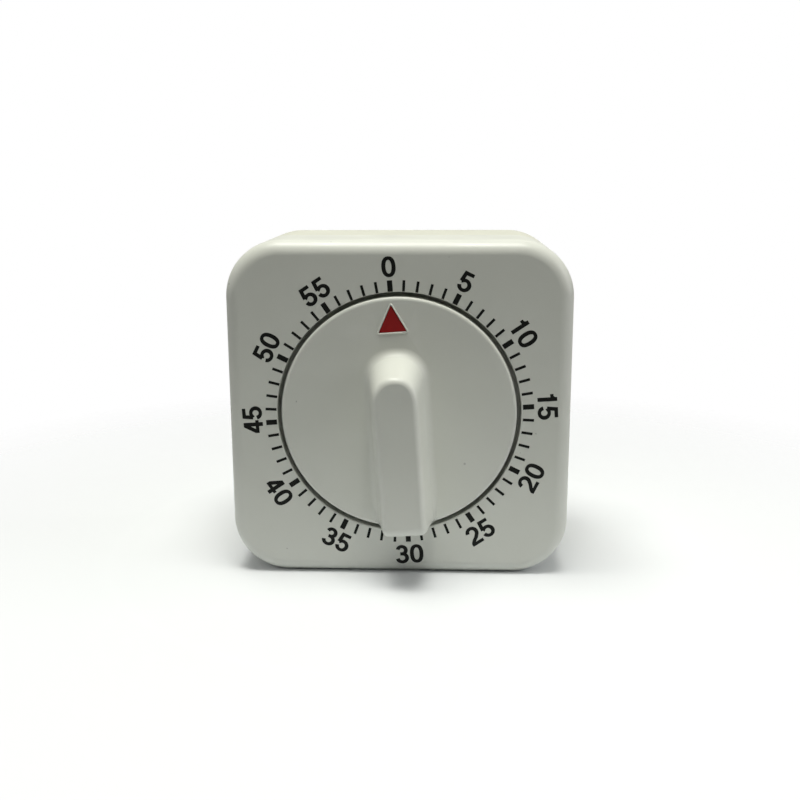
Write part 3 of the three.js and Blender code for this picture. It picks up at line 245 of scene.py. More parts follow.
# Bell
BELL_THICKNESS = 0.9
BELL_DOME_RADIUS = 6.0
BELL_HOLE_RADIUS = 1.6
BELL_RIM = 0.4
BELL_INNER_STEP = 0.1

# Facets, and how they are shaded
CORNER_STEPS = 24
EDGE_STEPS = 14
SIDE_STEPS = 40
ARC_STEPS = 8
LIP_STEPS = 4
SMALL_STEPS = 5
POCKET_STEPS = 6
DOME_STEPS = 16
HANDLE_TOP_STEPS = 40
HANDLE_CORNER_STEPS = 10
DISC_SIDES = 192
BELL_SIDES = 96
ROD_SIDES = 48
SMOOTH_ANGLE = 32.0
FLAT_WEIGHT = 90

# Distances in metres, and one angle in degrees
POINT_WELD = 1e-7
WELD_DISTANCE = 2e-6
NODE_WELD = 1e-6
NODE_EDGE = 0.00005
NODE_EDGE_ANGLE = 50.0

# Camera, in degrees and millimetres from the middle of the dial; its clip is in metres
CAMERA_AZIMUTH = 2.366
CAMERA_ELEVATION = 12.582
CAMERA_ROLL = -0.2
CAMERA_DISTANCE = 210.635
CAMERA_ACROSS = -0.236
CAMERA_UP = -2.840
CAMERA_LENS = 46.592
CAMERA_SENSOR = 36.0
CAMERA_CLIP = (0.01, 20.0)

# Studio, in metres
FLOOR_RADIUS = 0.17
FLOOR_SOLID = 0.065
FLOOR_COLOUR = (0.92, 0.94, 0.97)
FLOOR_BOUNCE = (0.73, 0.75, 0.78)
FLOOR_ROUGHNESS = 0.9
FLOOR_SHEEN = 0.2
AIR_COLOUR = (1.0, 0.99, 0.93, 1.0)
AIR_STRENGTH = (0.03, 0.4)
AIR_DEPTH = (-0.1, 0.6)
WHITE = (1.0, 1.0, 1.0)

# Name, place, target, size, power, colour
LIGHTS = (
    ("softbox_top", (-0.02, -0.06, 0.54), (0.0, -0.03, 0.0), (0.34, 0.2), 2.55, (1.0, 1.0, 0.93)),
    ("softbox_front", (-0.05, -0.42, 0.46), (0.0, 0.0, 0.03), (0.2, 0.15), 0.16, (1.0, 1.0, 0.95)),
    ("fill_right", (0.5, -0.06, 0.2), (0.0, -0.02, 0.04), (0.3, 0.3), 0.74, WHITE),
    ("fill_left", (-0.5, -0.06, 0.2), (0.0, -0.02, 0.04), (0.3, 0.3), 0.2, WHITE),
)

# ---------------------------------------------------------------- points


def polar(radius, degrees):
    angle = math.radians(degrees)
    return radius * math.cos(angle), radius * math.sin(angle)


def quarter(start, corner, end, steps=ARC_STEPS):
    """A quarter round from start to end, tangent to the two lines that meet at corner."""
    points = []
    for i in range(steps + 1):
        angle = math.pi / 2 * i / steps
        near, far = 1 - math.sin(angle), 1 - math.cos(angle)
        axes = zip(start, corner, end)
        points.append(tuple(c + near * (s - c) + far * (e - c) for s, c, e in axes))
    return points


def between(a, b, share):
    return tuple(p + share * (q - p) for p, q in zip(a, b))


def square_outline(inset):
    """The housing's outline drawn in by inset, anticlockwise from the middle right corner."""
    half_x, half_z, radius = HALF_WIDTH - inset, HALF_HEIGHT - inset, CORNER_RADIUS - inset
    corners = []
    for turn, (sx, sz) in enumerate(((1, 1), (-1, 1), (-1, -1), (1, -1))):
        corner = []
        for i in range(CORNER_STEPS + 1):
            dx, dz = polar(radius, 90 * (turn + i / CORNER_STEPS))
            corner.append((sx * (half_x - radius) + dx, CENTRE_Z + sz * (half_z - radius) + dz))
        corners.append(corner)
    points = []
    for corner, following in zip(corners, corners[1:] + corners[:1]):
        points += corner
        points += [between(corner[-1], following[0], i / SIDE_STEPS) for i in range(1, SIDE_STEPS)]
    return points


OUTLINE_ANGLES = [math.degrees(math.atan2(z - DIAL_Z, x)) for x, z in square_outline(0)]


def circle_outline(radius, centre_z=DIAL_Z):
    """A circle whose points lie beside those of the housing's outline."""
    return [(x, centre_z + z) for x, z in (polar(radius, a) for a in OUTLINE_ANGLES)]


def squares(profile):
    """Rings of the housing's outline from (inset, y) pairs."""
    return [[(x, y, z) for x, z in square_outline(inset)] for inset, y in profile]


def circles(profile, centre_z=DIAL_Z):
    """Rings from (radius, y) pairs that can stand beside those of squares()."""
    return [[(x, y, z) for x, z in circle_outline(radius, centre_z)] for radius, y in profile]


def turned_rings(profile, x, z, sides=ROD_SIDES):
    """Round rings from (radius, y) pairs about an axis along Y."""
    rings = []
    for radius, y in profile:
        steps = (polar(radius, 360 * i / sides) for i in range(sides))
        rings.append([(x + dx, y, z + dz) for dx, dz in steps])
    return rings


# ---------------------------------------------------------------- meshes


def mesh_of(name, points, faces):
    """A mesh in metres from points in millimetres, with its faces turned outwards."""
    mesh = bpy.data.meshes.new(name)
    mesh.from_pydata([Vector(p) * MM for p in points], [], faces)
    work = bmesh.new()
    work.from_mesh(mesh)
    bmesh.ops.remove_doubles(work, verts=work.verts, dist=POINT_WELD)
    bmesh.ops.recalc_face_normals(work, faces=work.faces)
    work.to_mesh(mesh)
    work.free()
    return mesh


def solid(name, points, faces):
    made = bpy.data.objects.new(name, mesh_of(name, points, faces))
    bpy.context.scene.collection.objects.link(made)
    return made


def loft(name, rings, closed=False):
    """A solid through rings of equal length: closed on itself, or with a flat cap at each end."""
    count = len(rings[0])
    points = [p for ring in rings for p in ring]
    faces = []
    spans = len(rings) if closed else len(rings) - 1
    for r in range(spans):
        near, far = r * count, (r + 1) % len(rings) * count
        for i in range(count):
            j = (i + 1) % count
            faces.append((near + i, near + j, far + j, far + i))
    if not closed:
        faces.append(tuple(range(count)))
        faces.append(tuple(range(len(points) - count, len(points))))
    return solid(name, points, faces)


def merged(name, objects):
    """One object that holds the meshes of several, which are removed."""
    work = bmesh.new()
    for part in objects:
        work.from_mesh(part.data)
        bpy.data.objects.remove(part)
    mesh = bpy.data.meshes.new(name)
    work.to_mesh(mesh)
    work.free()
    made = bpy.data.objects.new(name, mesh)
    bpy.context.scene.collection.objects.link(made)
    return made


def combine(base, tools, operation):
    """Joins solids to base, or cuts them from it, and leaves one clean mesh."""
    tool = merged("tool", tools)
    modifier = base.modifiers.new("combine", "BOOLEAN")
    modifier.operation = operation
    modifier.solver = "EXACT"
    modifier.object = tool
    graph = bpy.context.evaluated_depsgraph_get()
    mesh = bpy.data.meshes.new_from_object(base.evaluated_get(graph))
    base.modifiers.clear()
    base.data = mesh
    bpy.data.objects.remove(tool)
    clean(mesh)


def clean(mesh):
    """Closes up the hair-thin faces that a cut can leave."""
    work = bmesh.new()
    work.from_mesh(mesh)
    bmesh.ops.remove_doubles(work, verts=work.verts, dist=WELD_DISTANCE)
    bmesh.ops.dissolve_degenerate(work, edges=work.edges, dist=WELD_DISTANCE)
    gaps = [edge for edge in work.edges if edge.is_boundary]
    bmesh.ops.holes_fill(work, edges=gaps)
    work.to_mesh(mesh)
    work.free()


def bend(edge):
    """How sharply the surface turns at an edge, in radians per millimetre."""
    widths = [face.calc_area() / edge.calc_length() / MM for face in edge.link_faces]
    return edge.calc_face_angle_signed(0.0) / max(widths)


def mark_curvature(mesh):
    """Stores how sharply each point curves, outwards above zero."""
    work = bmesh.new()
    work.from_mesh(mesh)
    values = []
    for vertex in work.verts:
        inner = [e for e in vertex.link_edges if len(e.link_faces) == 2 and e.calc_length() > 0]
        values.append(max(map(bend, inner), key=abs, default=0.0))
    work.free()
    attribute = mesh.attributes.new("bend_and_painted_shade", "FLOAT", "POINT")
    attribute.data.foreach_set("value", values)


def dress(piece, material, body, nodes=()):
    """Gives a finished piece its shading, material, body, slot and the nodes it stands for."""
    mark_curvature(piece.data)
    piece.data.shade_smooth()
    piece.data.set_sharp_from_angle(angle=math.radians(SMOOTH_ANGLE))
    weighted = piece.modifiers.new("even_faces", "WEIGHTED_NORMAL")
    weighted.keep_sharp = True
    weighted.weight = FLAT_WEIGHT
    piece.data.materials.clear()
    piece.data.materials.append(material)
    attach(piece, body)
    if nodes:
        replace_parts(piece, *nodes)


# ---------------------------------------------------------------- materials

# Sizes of the finishes' features, per metre
MOTTLE = 55
WAVES = 110
GLOSS_PATCHES = 170
TARNISH = 240
SCUFF = 260
DENTS = 420
INK_GLOSS = 500
DUST = 700
GRINDING = 900
INK_MOTTLE = 1400
BRUSHING = 1500
SINTER = 2400
MOULD_GRAIN = 2600
INK_GRAIN = 3000

# Bends that are worn bright or hold dust, and the recess's painted shade stored as a bend, in
# radians per millimetre, and shades of the base colour
WORN_BEND = (0.15, 1.6)
DUST_AND_SHADE_BEND = (RECESS_PAINTED_SHADE, -0.9)
DUST_AND_PAINTED_SHADE = 0.3
SPECK_SHADE = 0.45
SPECK_RANGE = (0.805, 0.825)
BRUSHED_SHADE = 0.8
PLASTIC_IOR = 1.49

# Depths of the finishes' bumps, in metres
WAVE_DEPTH = 0.00003
ROUGH_DEPTH = 0.00002
GRAIN_DEPTH = 0.000012
SCRATCH_DEPTH = 0.00001
INK_GRAIN_DEPTH = 0.000008


def link(tree, source, target):
    tree.links.new(source, target)


def node(tree, kind, **values):
    """A shader node with its plain properties and input sockets set."""
    made = tree.nodes.new(kind)
    for key, value in values.items():
        if hasattr(made, key):
            setattr(made, key, value)
        else:
            made.inputs[key.replace("_", " ")].default_value = value
    return made


def noise(tree, scale, detail, stretch=None):
    """Noise in the piece's own space; scale is in features per metre."""
    place = node(tree, "ShaderNodeTexCoord").outputs["Object"]
    if stretch:
        mapping = node(tree, "ShaderNodeMapping", Scale=stretch)
        link(tree, place, mapping.inputs["Vector"])
        place = mapping.outputs["Vector"]
    made = node(tree, "ShaderNodeTexNoise", Scale=scale, Detail=detail)
    link(tree, place, made.inputs["Vector"])
    return made.outputs["Fac"]


def spread(tree, value, low, high, start=0.3, stop=0.7):
    """Maps a value from start..stop to low..high."""
    made = node(tree, "ShaderNodeMapRange")
    link(tree, value, made.inputs["Value"])
    ends = zip(("From Min", "From Max", "To Min", "To Max"), (start, stop, low, high))
    for socket, number in ends:
        made.inputs[socket].default_value = number
    return made.outputs["Result"]


def tint(tree, share, first, second):
    """A colour between first, which is a socket or a colour, and the colour second."""
    made = node(tree, "ShaderNodeMix", data_type="RGBA")
    link(tree, share, made.inputs["Factor"])
    start, end = (socket for socket in made.inputs if socket.type == "RGBA")
    if isinstance(first, tuple):
        start.default_value = (*first, 1.0)
    else:
        link(tree, first, start)
    end.default_value = (*second, 1.0)
    return next(socket for socket in made.outputs if socket.type == "RGBA")


def product(tree, first, second):
    made = node(tree, "ShaderNodeMath", operation="MULTIPLY")
    link(tree, first, made.inputs[0])
    link(tree, second, made.inputs[1])
    return made.outputs[0]


def shaded(colour, share):
    return tuple(c * share for c in colour)


def bumps(tree, shader, layers):
    """Stacks bump layers of (height socket, strength, depth in metres) on a shader."""
    last = None
    for height, strength, depth in layers:
        bump = node(tree, "ShaderNodeBump", Strength=strength, Distance=depth)
        link(tree, height, bump.inputs["Height"])
        if last:
            link(tree, last, bump.inputs["Normal"])
        last = bump.outputs["Normal"]
    link(tree, last, shader.inputs["Normal"])


def new_material(name):
    material = bpy.data.materials.new(name)
    material.use_nodes = True
    return material, material.node_tree, material.node_tree.nodes["Principled BSDF"]


def plastic(name, light, dark, worn, roughness=0.36, grain=0.25):
    """Moulded plastic: mottled, with a fine grain, polished edges, dust in the corners and painted
    shade wherever a piece stores it as a bend.
    """
    material, tree, shader = new_material(name)
    bend_and_shade = node(tree, "ShaderNodeAttribute", attribute_name="bend_and_painted_shade").outputs["Fac"]
    colour = tint(tree, spread(tree, noise(tree, MOTTLE, 3.0), 0.0, 1.0), light, dark)
    edges = spread(tree, bend_and_shade, 0.0, 0.7, *WORN_BEND)
    patches = spread(tree, noise(tree, SCUFF, 4.0), 0.2, 1.0, 0.4, 0.65)
    colour = tint(tree, product(tree, edges, patches), colour, worn)
    # Dust in sharp inward bends; in the recess this mask also carries the painted shade stored
    # there as a bend
    corners = spread(tree, bend_and_shade, 1.0, 0.0, *DUST_AND_SHADE_BEND)
    patches = spread(tree, noise(tree, DUST, 3.0), 0.35, 1.0)
    colour = tint(tree, product(tree, corners, patches), colour, shaded(dark, DUST_AND_PAINTED_SHADE))
    specks = spread(tree, noise(tree, DUST, 1.0), 0.0, 0.5, *SPECK_RANGE)
    colour = tint(tree, specks, colour, shaded(dark, SPECK_SHADE))
    link(tree, colour, shader.inputs["Base Color"])
    gloss = spread(tree, noise(tree, GLOSS_PATCHES, 4.0), roughness - 0.06, roughness + 0.07)
    link(tree, gloss, shader.inputs["Roughness"])
    shader.inputs["IOR"].default_value = PLASTIC_IOR
    bumps(tree, shader, [
        (noise(tree, WAVES, 1.0), 0.25, WAVE_DEPTH),
        (noise(tree, MOULD_GRAIN, 2.0), grain, GRAIN_DEPTH),
    ])
    return material


def metal(name, light, dark, roughness, stretch=(1.0, 1.0, 12.0), scratch=0.2):
    """Metal with a drawn or turned grain and tarnish in patches."""
    material, tree, shader = new_material(name)
    colour = tint(tree, spread(tree, noise(tree, TARNISH, 4.0), 0.0, 1.0), light, dark)
    lines = noise(tree, BRUSHING, 3.0, stretch)
    colour = tint(tree, spread(tree, lines, 0.0, 0.35), colour, shaded(dark, BRUSHED_SHADE))
    link(tree, colour, shader.inputs["Base Color"])
    shader.inputs["Metallic"].default_value = 1.0
    link(tree, spread(tree, lines, roughness - 0.07, roughness + 0.12), shader.inputs["Roughness"])
    bumps(tree, shader, [
        (lines, scratch, SCRATCH_DEPTH),
        (noise(tree, DENTS, 3.0), 0.1, ROUGH_DEPTH),
    ])
    return material


def ink(name, light, dark, roughness, sheen=0.5):
    """Pad-printed ink: nearly even, with a soft mottle and a slight sheen."""
    material, tree, shader = new_material(name)
    colour = tint(tree, spread(tree, noise(tree, INK_MOTTLE, 3.0), 0.0, 1.0), light, dark)
    link(tree, colour, shader.inputs["Base Color"])
    gloss = spread(tree, noise(tree, INK_GLOSS, 2.0), roughness - 0.05, roughness + 0.08)
    link(tree, gloss, shader.inputs["Roughness"])
    shader.inputs["Specular IOR Level"].default_value = sheen
    bumps(tree, shader, [(noise(tree, INK_GRAIN, 2.0), 0.15, INK_GRAIN_DEPTH)])
    return material


def ferrite(name):
    """Sintered ferrite: near black, sparkling with fine grains and ground on its face."""
    material, tree, shader = new_material(name)
    grains = noise(tree, SINTER, 6.0)
    colour = tint(tree, spread(tree, grains, 0.0, 1.0), (0.022, 0.021, 0.022), (0.07, 0.067, 0.066))
    link(tree, colour, shader.inputs["Base Color"])
    ground = noise(tree, GRINDING, 2.0, (8.0, 1.0, 1.0))
    link(tree, spread(tree, ground, 0.38, 0.7), shader.inputs["Roughness"])
    bumps(tree, shader, [(ground, 0.2, ROUGH_DEPTH), (grains, 0.3, ROUGH_DEPTH)])
    return material


MATERIALS = {
    "ivory_plastic": plastic(
        "ivory_plastic", (0.785, 0.80, 0.74), (0.765, 0.78, 0.715), (0.84, 0.85, 0.80)),
    # A darker, greener copy of the ivory plastic: painted shade for the strip along the top at the
    # back
    "rear_plastic": plastic(
        "rear_plastic", (0.745, 0.75, 0.655), (0.72, 0.725, 0.625), (0.79, 0.795, 0.71),
        roughness=0.42),
    "red_inlay": ink("red_inlay", (0.37, 0.008, 0.008), (0.33, 0.006, 0.007), 0.42),
    "scale_ink": ink("scale_ink", (0.004, 0.005, 0.003), (0.007, 0.008, 0.006), 0.6, 0.25),
    "brass": metal("brass", (0.78, 0.57, 0.25), (0.62, 0.42, 0.17), 0.28),
    "steel": metal("steel", (0.62, 0.62, 0.63), (0.46, 0.46, 0.47), 0.3, (1.0, 16.0, 1.0)),
    "spring_steel": metal("spring_steel", (0.22, 0.25, 0.31), (0.12, 0.13, 0.17), 0.32),
    "zinc": metal("zinc", (0.68, 0.69, 0.72), (0.55, 0.56, 0.57), 0.36),
    "ferrite": ferrite("ferrite"),
    "bell_nickel": metal(
        "bell_nickel", (0.75, 0.73, 0.69), (0.66, 0.64, 0.6), 0.18, (1.0, 20.0, 1.0), 0.1),
    "white_acetal": plastic(
        "white_acetal", (0.82, 0.81, 0.76), (0.78, 0.77, 0.71), (0.85, 0.84, 0.8),
        roughness=0.5, grain=0.15),
}

# ---------------------------------------------------------------- housing


def rod(radius, front, back, x, z, edge=0.0):
    """A round bar along Y, with its rear edge rounded by edge."""
    profile = [(radius, front)]
    if edge:
        profile += quarter((radius, back - edge), (radius, back), (radius - edge, back))
    else:
        profile.append((radius, back))
    return loft("rod", turned_rings(profile, x, z))


def hole(radius, floor, surface, x, z):
    """A cutter for a round hole that opens rearwards, with a rounded lip."""
    wide = radius + HOLE_LIP
    profile = [(radius, floor)]
    profile += quarter((radius, surface - HOLE_LIP), (radius, surface), (wide, surface))
    profile.append((wide, surface + CLEAR))
    return loft("hole", turned_rings(profile, x, z))


def capsule_ring(half_length, half_width, y, x, z, degrees=0.0):
    """One ring of a bar with round ends, lying along degrees in the face plane."""
    ring = []
    for end in (0, 1):
        for i in range(ARC_STEPS + 1):
            dx, dz = polar(half_width, 180 * end - 90 + 180 * i / ARC_STEPS)
            across = dx + (half_length - half_width) * (1 - 2 * end)
            ring.append((across, dz))
    c, s = math.cos(math.radians(degrees)), math.sin(math.radians(degrees))
    return [(x + c * u - s * v, y, z + s * u + c * v) for u, v in ring]


def stop_lug(degrees, front, back):
    """A bar with round ends that stands along a radius of the dial."""
    x, z = polar(LUG_RADIUS, degrees)
    half = (LUG_LENGTH + LUG_WIDTH) / 2
    rings = [capsule_ring(half, LUG_WIDTH / 2, y, x, DIAL_Z + z, degrees) for y in (front, back)]
    return loft("lug", rings)


def post_axes():
    return [(sx * POST_OFFSET, CENTRE_Z + sz * POST_OFFSET) for sz in (1, -1) for sx in (-1, 1)]


def front_shell_rings():
    """Once round the shell's section: recess floor, recess wall, face, side, inside, cup."""
    lip = RECESS_RADIUS + RECESS_LIP
    inner_y = FACE_Y + WALL
    cup = RECESS_RADIUS + RECESS_WALL
    hub, hub_lip = HUB_HOLE_RADIUS, HUB_HOLE_LIP
    return [
        *circles(quarter(
            (hub, FLOOR_Y + hub_lip), (hub, FLOOR_Y), (hub + hub_lip, FLOOR_Y), LIP_STEPS)),
        *circles(quarter(
            (RECESS_RADIUS - FLOOR_FILLET, FLOOR_Y), (RECESS_RADIUS, FLOOR_Y),
            (RECESS_RADIUS, FLOOR_Y - FLOOR_FILLET))),
        # the painted shade on the recess wall starts at this ring
        *circles([(RECESS_RADIUS, FACE_Y + PAINTED_SHADE_DEPTH)]),
        *circles(quarter(
            (RECESS_RADIUS, FACE_Y + RECESS_LIP), (RECESS_RADIUS, FACE_Y), (lip, FACE_Y))),
        *squares(quarter(
            (EDGE_RADIUS, FACE_Y), (0, FACE_Y), (0, FACE_Y + EDGE_RADIUS), EDGE_STEPS)),
        *squares(quarter(
            (0, PARTING_Y - SEAM_ROUND), (0, PARTING_Y), (SEAM_ROUND, PARTING_Y), LIP_STEPS)),
        *squares([(WALL, PARTING_Y)]),
        *squares(quarter(
            (WALL, inner_y + INNER_CORNER), (WALL, inner_y), (WALL + INNER_CORNER, inner_y),
            SMALL_STEPS)),
        *circles([(cup, inner_y)]),
        *circles(quarter(
            (cup, FLOOR_BACK_Y - FLOOR_FILLET), (cup, FLOOR_BACK_Y),
            (cup - FLOOR_FILLET, FLOOR_BACK_Y), LIP_STEPS)),
        *circles([(hub, FLOOR_BACK_Y)]),
    ]


def soil_recess(shell):
    """Paints shade on the recess's wall and floor, stored as a bend that darkens as dust does, most
    of it below the knob.
    """
    floor_depth = FLOOR_Y - FACE_Y - PAINTED_SHADE_DEPTH
    for vertex, recess_shade in zip(shell.data.vertices, shell.data.attributes["bend_and_painted_shade"].data):
        x, y, z = (c / MM for c in vertex.co)
        depth = (y - FACE_Y - PAINTED_SHADE_DEPTH) / floor_depth
        in_recess = math.hypot(x, z - DIAL_Z) < RECESS_RADIUS + NEAR
        if in_recess and -NEAR < depth * floor_depth < floor_depth + NEAR:
            lowness = (DIAL_Z - z) / RECESS_RADIUS / 2 + 0.5
            share = min(PAINTED_SHADE_RISE * lowness, 1.0) * (1 - (1 - PAINTED_SHADE_AT_FLOOR) * depth)
            # painted shade, written over the stored bend
            recess_shade.value = RECESS_PAINTED_SHADE * share


def front_shell():
    shell = loft("timer_front_shell", front_shell_rings(), closed=True)
    behind_face = FACE_Y + WALL / 2
    added = [rod(POST_RADIUS, behind_face, POST_END_Y, x, z, POST_EDGE) for x, z in post_axes()]
    for x, z in BOSS_AXES:
        inside = math.hypot(x, z) < RECESS_RADIUS
        front = FLOOR_BACK_Y - OVERLAP if inside else behind_face
        added.append(rod(BOSS_RADIUS, front, BOSS_BACK_Y, x, DIAL_Z + z))
    added.append(stop_lug(SHELL_LUG_ANGLE, SHELL_LUG_Y, FLOOR_Y + OVERLAP))
    combine(shell, added, "UNION")
    pilots = [rod(PILOT_RADIUS, POST_END_Y - PILOT_DEPTH, POST_END_Y + CLEAR, x, z)
              for x, z in post_axes()]
    pilots += [rod(BOSS_PILOT_RADIUS, FLOOR_BACK_Y, BOSS_BACK_Y + CLEAR, x, DIAL_Z + z)
               for x, z in BOSS_AXES]
    combine(shell, pilots, "DIFFERENCE")
    dress(shell, MATERIALS["ivory_plastic"], "housing", ["front_shell"])
    soil_recess(shell)


def rear_cover_rings():
    """From the inside of the magnet boss, out and round the tongue, to the magnet pocket."""
    seam = PARTING_Y + PARTING_GAP
    inside_y = BACK_Y - WALL
    tongue_in = TONGUE_INSET + TONGUE_THICKNESS
    corner = REAR_INNER_CORNER
    rear = BACK_EDGE_RADIUS
    pocket, lip = MAGNET_POCKET_RADIUS, MAGNET_POCKET_LIP
    return [
        *circles([(MAGNET_BOSS_RADIUS - MAGNET_BOSS_EDGE, MAGNET_BOSS_Y),
                  (MAGNET_BOSS_RADIUS, MAGNET_BOSS_Y + MAGNET_BOSS_EDGE),
                  (MAGNET_BOSS_RADIUS, inside_y)], CENTRE_Z),
        *squares(quarter(
            (WALL + corner, inside_y), (WALL, inside_y), (WALL, inside_y - corner), POCKET_STEPS)),
        *squares([(WALL, TONGUE_BACK_Y), (tongue_in, TONGUE_BACK_Y), (tongue_in, TONGUE_FRONT_Y),
                  (TONGUE_INSET, TONGUE_FRONT_Y), (TONGUE_INSET, seam)]),
        *squares(quarter((SEAM_ROUND, seam), (0, seam), (0, seam + SEAM_ROUND), LIP_STEPS)),
        *squares(quarter((0, BACK_Y - rear), (0, BACK_Y), (rear, BACK_Y), EDGE_STEPS)),
        *circles(quarter(
            (pocket + lip, BACK_Y), (pocket, BACK_Y), (pocket, BACK_Y - lip), POCKET_STEPS),
            CENTRE_Z),
        *circles([(pocket, MAGNET_POCKET_Y)], CENTRE_Z),
    ]


def sound_slot(z):
    """A cutter for one slot, with a rounded lip at the back face."""
    profile = [(0.0, BACK_Y - 2 * WALL)]
    profile += quarter((0.0, BACK_Y - HOLE_LIP), (0.0, BACK_Y), (HOLE_LIP, BACK_Y), SMALL_STEPS)
    profile.append((HOLE_LIP, BACK_Y + CLEAR))
    rings = [capsule_ring(SLOT_HALF_LENGTH + grow, SLOT_HALF_WIDTH + grow, y, 0.0, z)
             for grow, y in profile]
    return loft("slot", rings)


def rear_cover():
    cover = loft("timer_rear_cover", rear_cover_rings())
    cups = [rod(CUP_RADIUS, CUP_FLOOR_Y, BACK_Y - WALL / 2, x, z) for x, z in post_axes()]
    combine(cover, cups, "UNION")
    relief_ends = (TONGUE_FRONT_Y - CLEAR, TONGUE_BACK_Y + OVERLAP)
    reliefs = [rod(POST_RADIUS + RELIEF_GAP, *relief_ends, x, z) for x, z in post_axes()]
    bores = [hole(CUP_BORE_RADIUS, CUP_SEAT_Y, BACK_Y, x, z) for x, z in post_axes()]
    hole_ends = (CUP_FLOOR_Y - CLEAR, CUP_SEAT_Y + CLEAR)
    holes = [rod(SCREW_HOLE_RADIUS, *hole_ends, x, z) for x, z in post_axes()]
    slots = [sound_slot(CENTRE_Z + side * (SLOT_FIRST + row * SLOT_PITCH))
             for side in (-1, 1) for row in range(SLOT_ROWS)]
    combine(cover, reliefs + bores + slots, "DIFFERENCE")
    combine(cover, holes, "DIFFERENCE")
    dress(cover, MATERIALS["rear_plastic"], "housing", ["rear_cover"])


def cross_ring(share, y, x, z):
    """One ring of the screw's cross recess, a share of its full length, turned by 45 degrees."""
    half_length = CROSS_HALF_LENGTH * share
    half_width = CROSS_HALF_WIDTH * (CROSS_LEAST_WIDTH + (1 - CROSS_LEAST_WIDTH) * share)
    ring = []
    for turn in (45, 135, 225, 315):
        c, s = polar(1.0, turn)
        arm = ((half_length, -half_width), (half_length, half_width), (half_width, half_width))
        ring += [(x + c * u - s * v, y, z + s * u + c * v) for u, v in arm]
    return ring


def cover_screw(number, x, z):
    """A pan-head screw with a cross recess, at the bottom of its cup."""
    low, high = box_mm(f"cover_screw_{number}")
    tip_y, head_y = low.y, high.y - SCREW_HEAD_HEIGHT
    profile = [(SCREW_TIP_RADIUS, tip_y), (SCREW_SHANK_RADIUS, tip_y + SCREW_TIP_LENGTH),
               (SCREW_SHANK_RADIUS, head_y), (SCREW_HEAD_RADIUS, head_y)]
    profile += quarter((SCREW_HEAD_RADIUS, head_y + SCREW_HEAD_SIDE), (SCREW_HEAD_RADIUS, high.y),
                       (SCREW_HEAD_FLAT, high.y))
    screw = loft(f"rear_screw_{number}", turned_rings(profile, x, z))
    steps = ((CROSS_TAPER, high.y - CROSS_DEPTH), (1.0, high.y),
             (CROSS_MOUTH, high.y + CROSS_CLEAR))
    recess = loft("cross", [cross_ring(share, y, x, z) for share, y in steps])
    combine(screw, [recess], "DIFFERENCE")
    dress(screw, MATERIALS["zinc"], "housing", [f"cover_screw_{number}"])


def back_magnet():
    radius = (MAGNET_HIGH.x - MAGNET_LOW.x) / 2
    front, back = MAGNET_LOW.y, MAGNET_HIGH.y
    profile = [(radius - MAGNET_FRONT_EDGE, front), (radius, front + MAGNET_FRONT_EDGE)]
    profile += quarter((radius, back - MAGNET_BACK_EDGE), (radius, back),
                       (radius - MAGNET_BACK_EDGE, back), SMALL_STEPS)
    magnet = loft("rear_magnet", turned_rings(profile, 0.0, CENTRE_Z, DISC_SIDES))
    dress(magnet, MATERIALS["ferrite"], "housing", ["back_magnet"])


# ---------------------------------------------------------------- knob


def tilted(obj):
    """Turns a piece built upright about the dial axis to where the printed zero stands."""
    centre = Vector((0, 0, DIAL_Z * MM))
    turn = Matrix.Rotation(math.radians(-DIAL_TILT), 4, "Y")
    obj.data.transform(Matrix.Translation(centre) @ turn @ Matrix.Translation(-centre))
    return obj


def handle_plan(half_width, top, end):
    """Plan of the handle as ((x, z), (normal x, normal z)): round at the top, square at the end."""
    points = []
    side, foot = half_width - HANDLE_CORNER, end + HANDLE_CORNER
    arcs = ((0.0, top - half_width, half_width, 0, 180, HANDLE_TOP_STEPS, HANDLE_TOP_POWER),
            (-side, foot, HANDLE_CORNER, 180, 270, HANDLE_CORNER_STEPS, 1.0),
            (side, foot, HANDLE_CORNER, 270, 360, HANDLE_CORNER_STEPS, 1.0))
    for cx, cz, radius, start, stop, steps, power in arcs:
        for i in range(steps + 1):
            c, s = polar(1.0, start + (stop - start) * i / steps)
            out = Vector([math.copysign(abs(v) ** (2 - power), v) for v in (c, s)]).normalized()
            x, z = (math.copysign(abs(v) ** power, v) for v in (c, s))
            points.append(((cx + radius * x, cz + radius * z), tuple(out)))
    return with_sides(points)


def with_sides(points):
    """Adds steps along the straight stretches of a plan outline."""
    filled = []
    for (here, normal), (there, _) in zip(points, points[1:] + points[:1]):
        filled.append((here, normal))
        steps = int(math.dist(here, there) // SIDE_STEP)
        filled += [(between(here, there, i / steps), normal) for i in range(1, steps)]
    return filled


def front_point(x, z):
    """The point of the handle's front face that belongs to a point of its base plan."""
    base_width, base_top, base_end = HANDLE_BASE
    width, top, end = HANDLE_FRONT
    scale = width / base_width
    return x * scale, end + (z - base_end) * (top - end) / (base_top - base_end)


def handle_rings():
    """Rings of the handle: skirt, fillet on the disc, drafted sides, rounded front edge."""
    base = handle_plan(*HANDLE_BASE)
    front = [front_point(*place) for place, _ in base]
    rings = [[fillet_point(b, f, 0.0, True) for b, f in zip(base, front)]]
    for i in range(ARC_STEPS + 1):
        angle = math.pi / 2 * i / ARC_STEPS
        rings.append([fillet_point(b, f, angle, False) for b, f in zip(base, front)])
    for i in range(ROUND_STEPS + 1):
        height = HANDLE_HEIGHT - ROUND_END * (1 - math.sin(math.pi / 2 * i / ROUND_STEPS))
        rings.append([round_point(b, f, height) for b, f in zip(base, front)])
    return rings


def flare(normal_z):
    """Radius of the handle's foot fillet, by which way the side faces."""
    if normal_z >= 0:
        return FLARE_SIDE + (FLARE_TOP - FLARE_SIDE) * normal_z ** 2
    return FLARE_SIDE * (1 - abs(normal_z)) ** FLARE_POWER


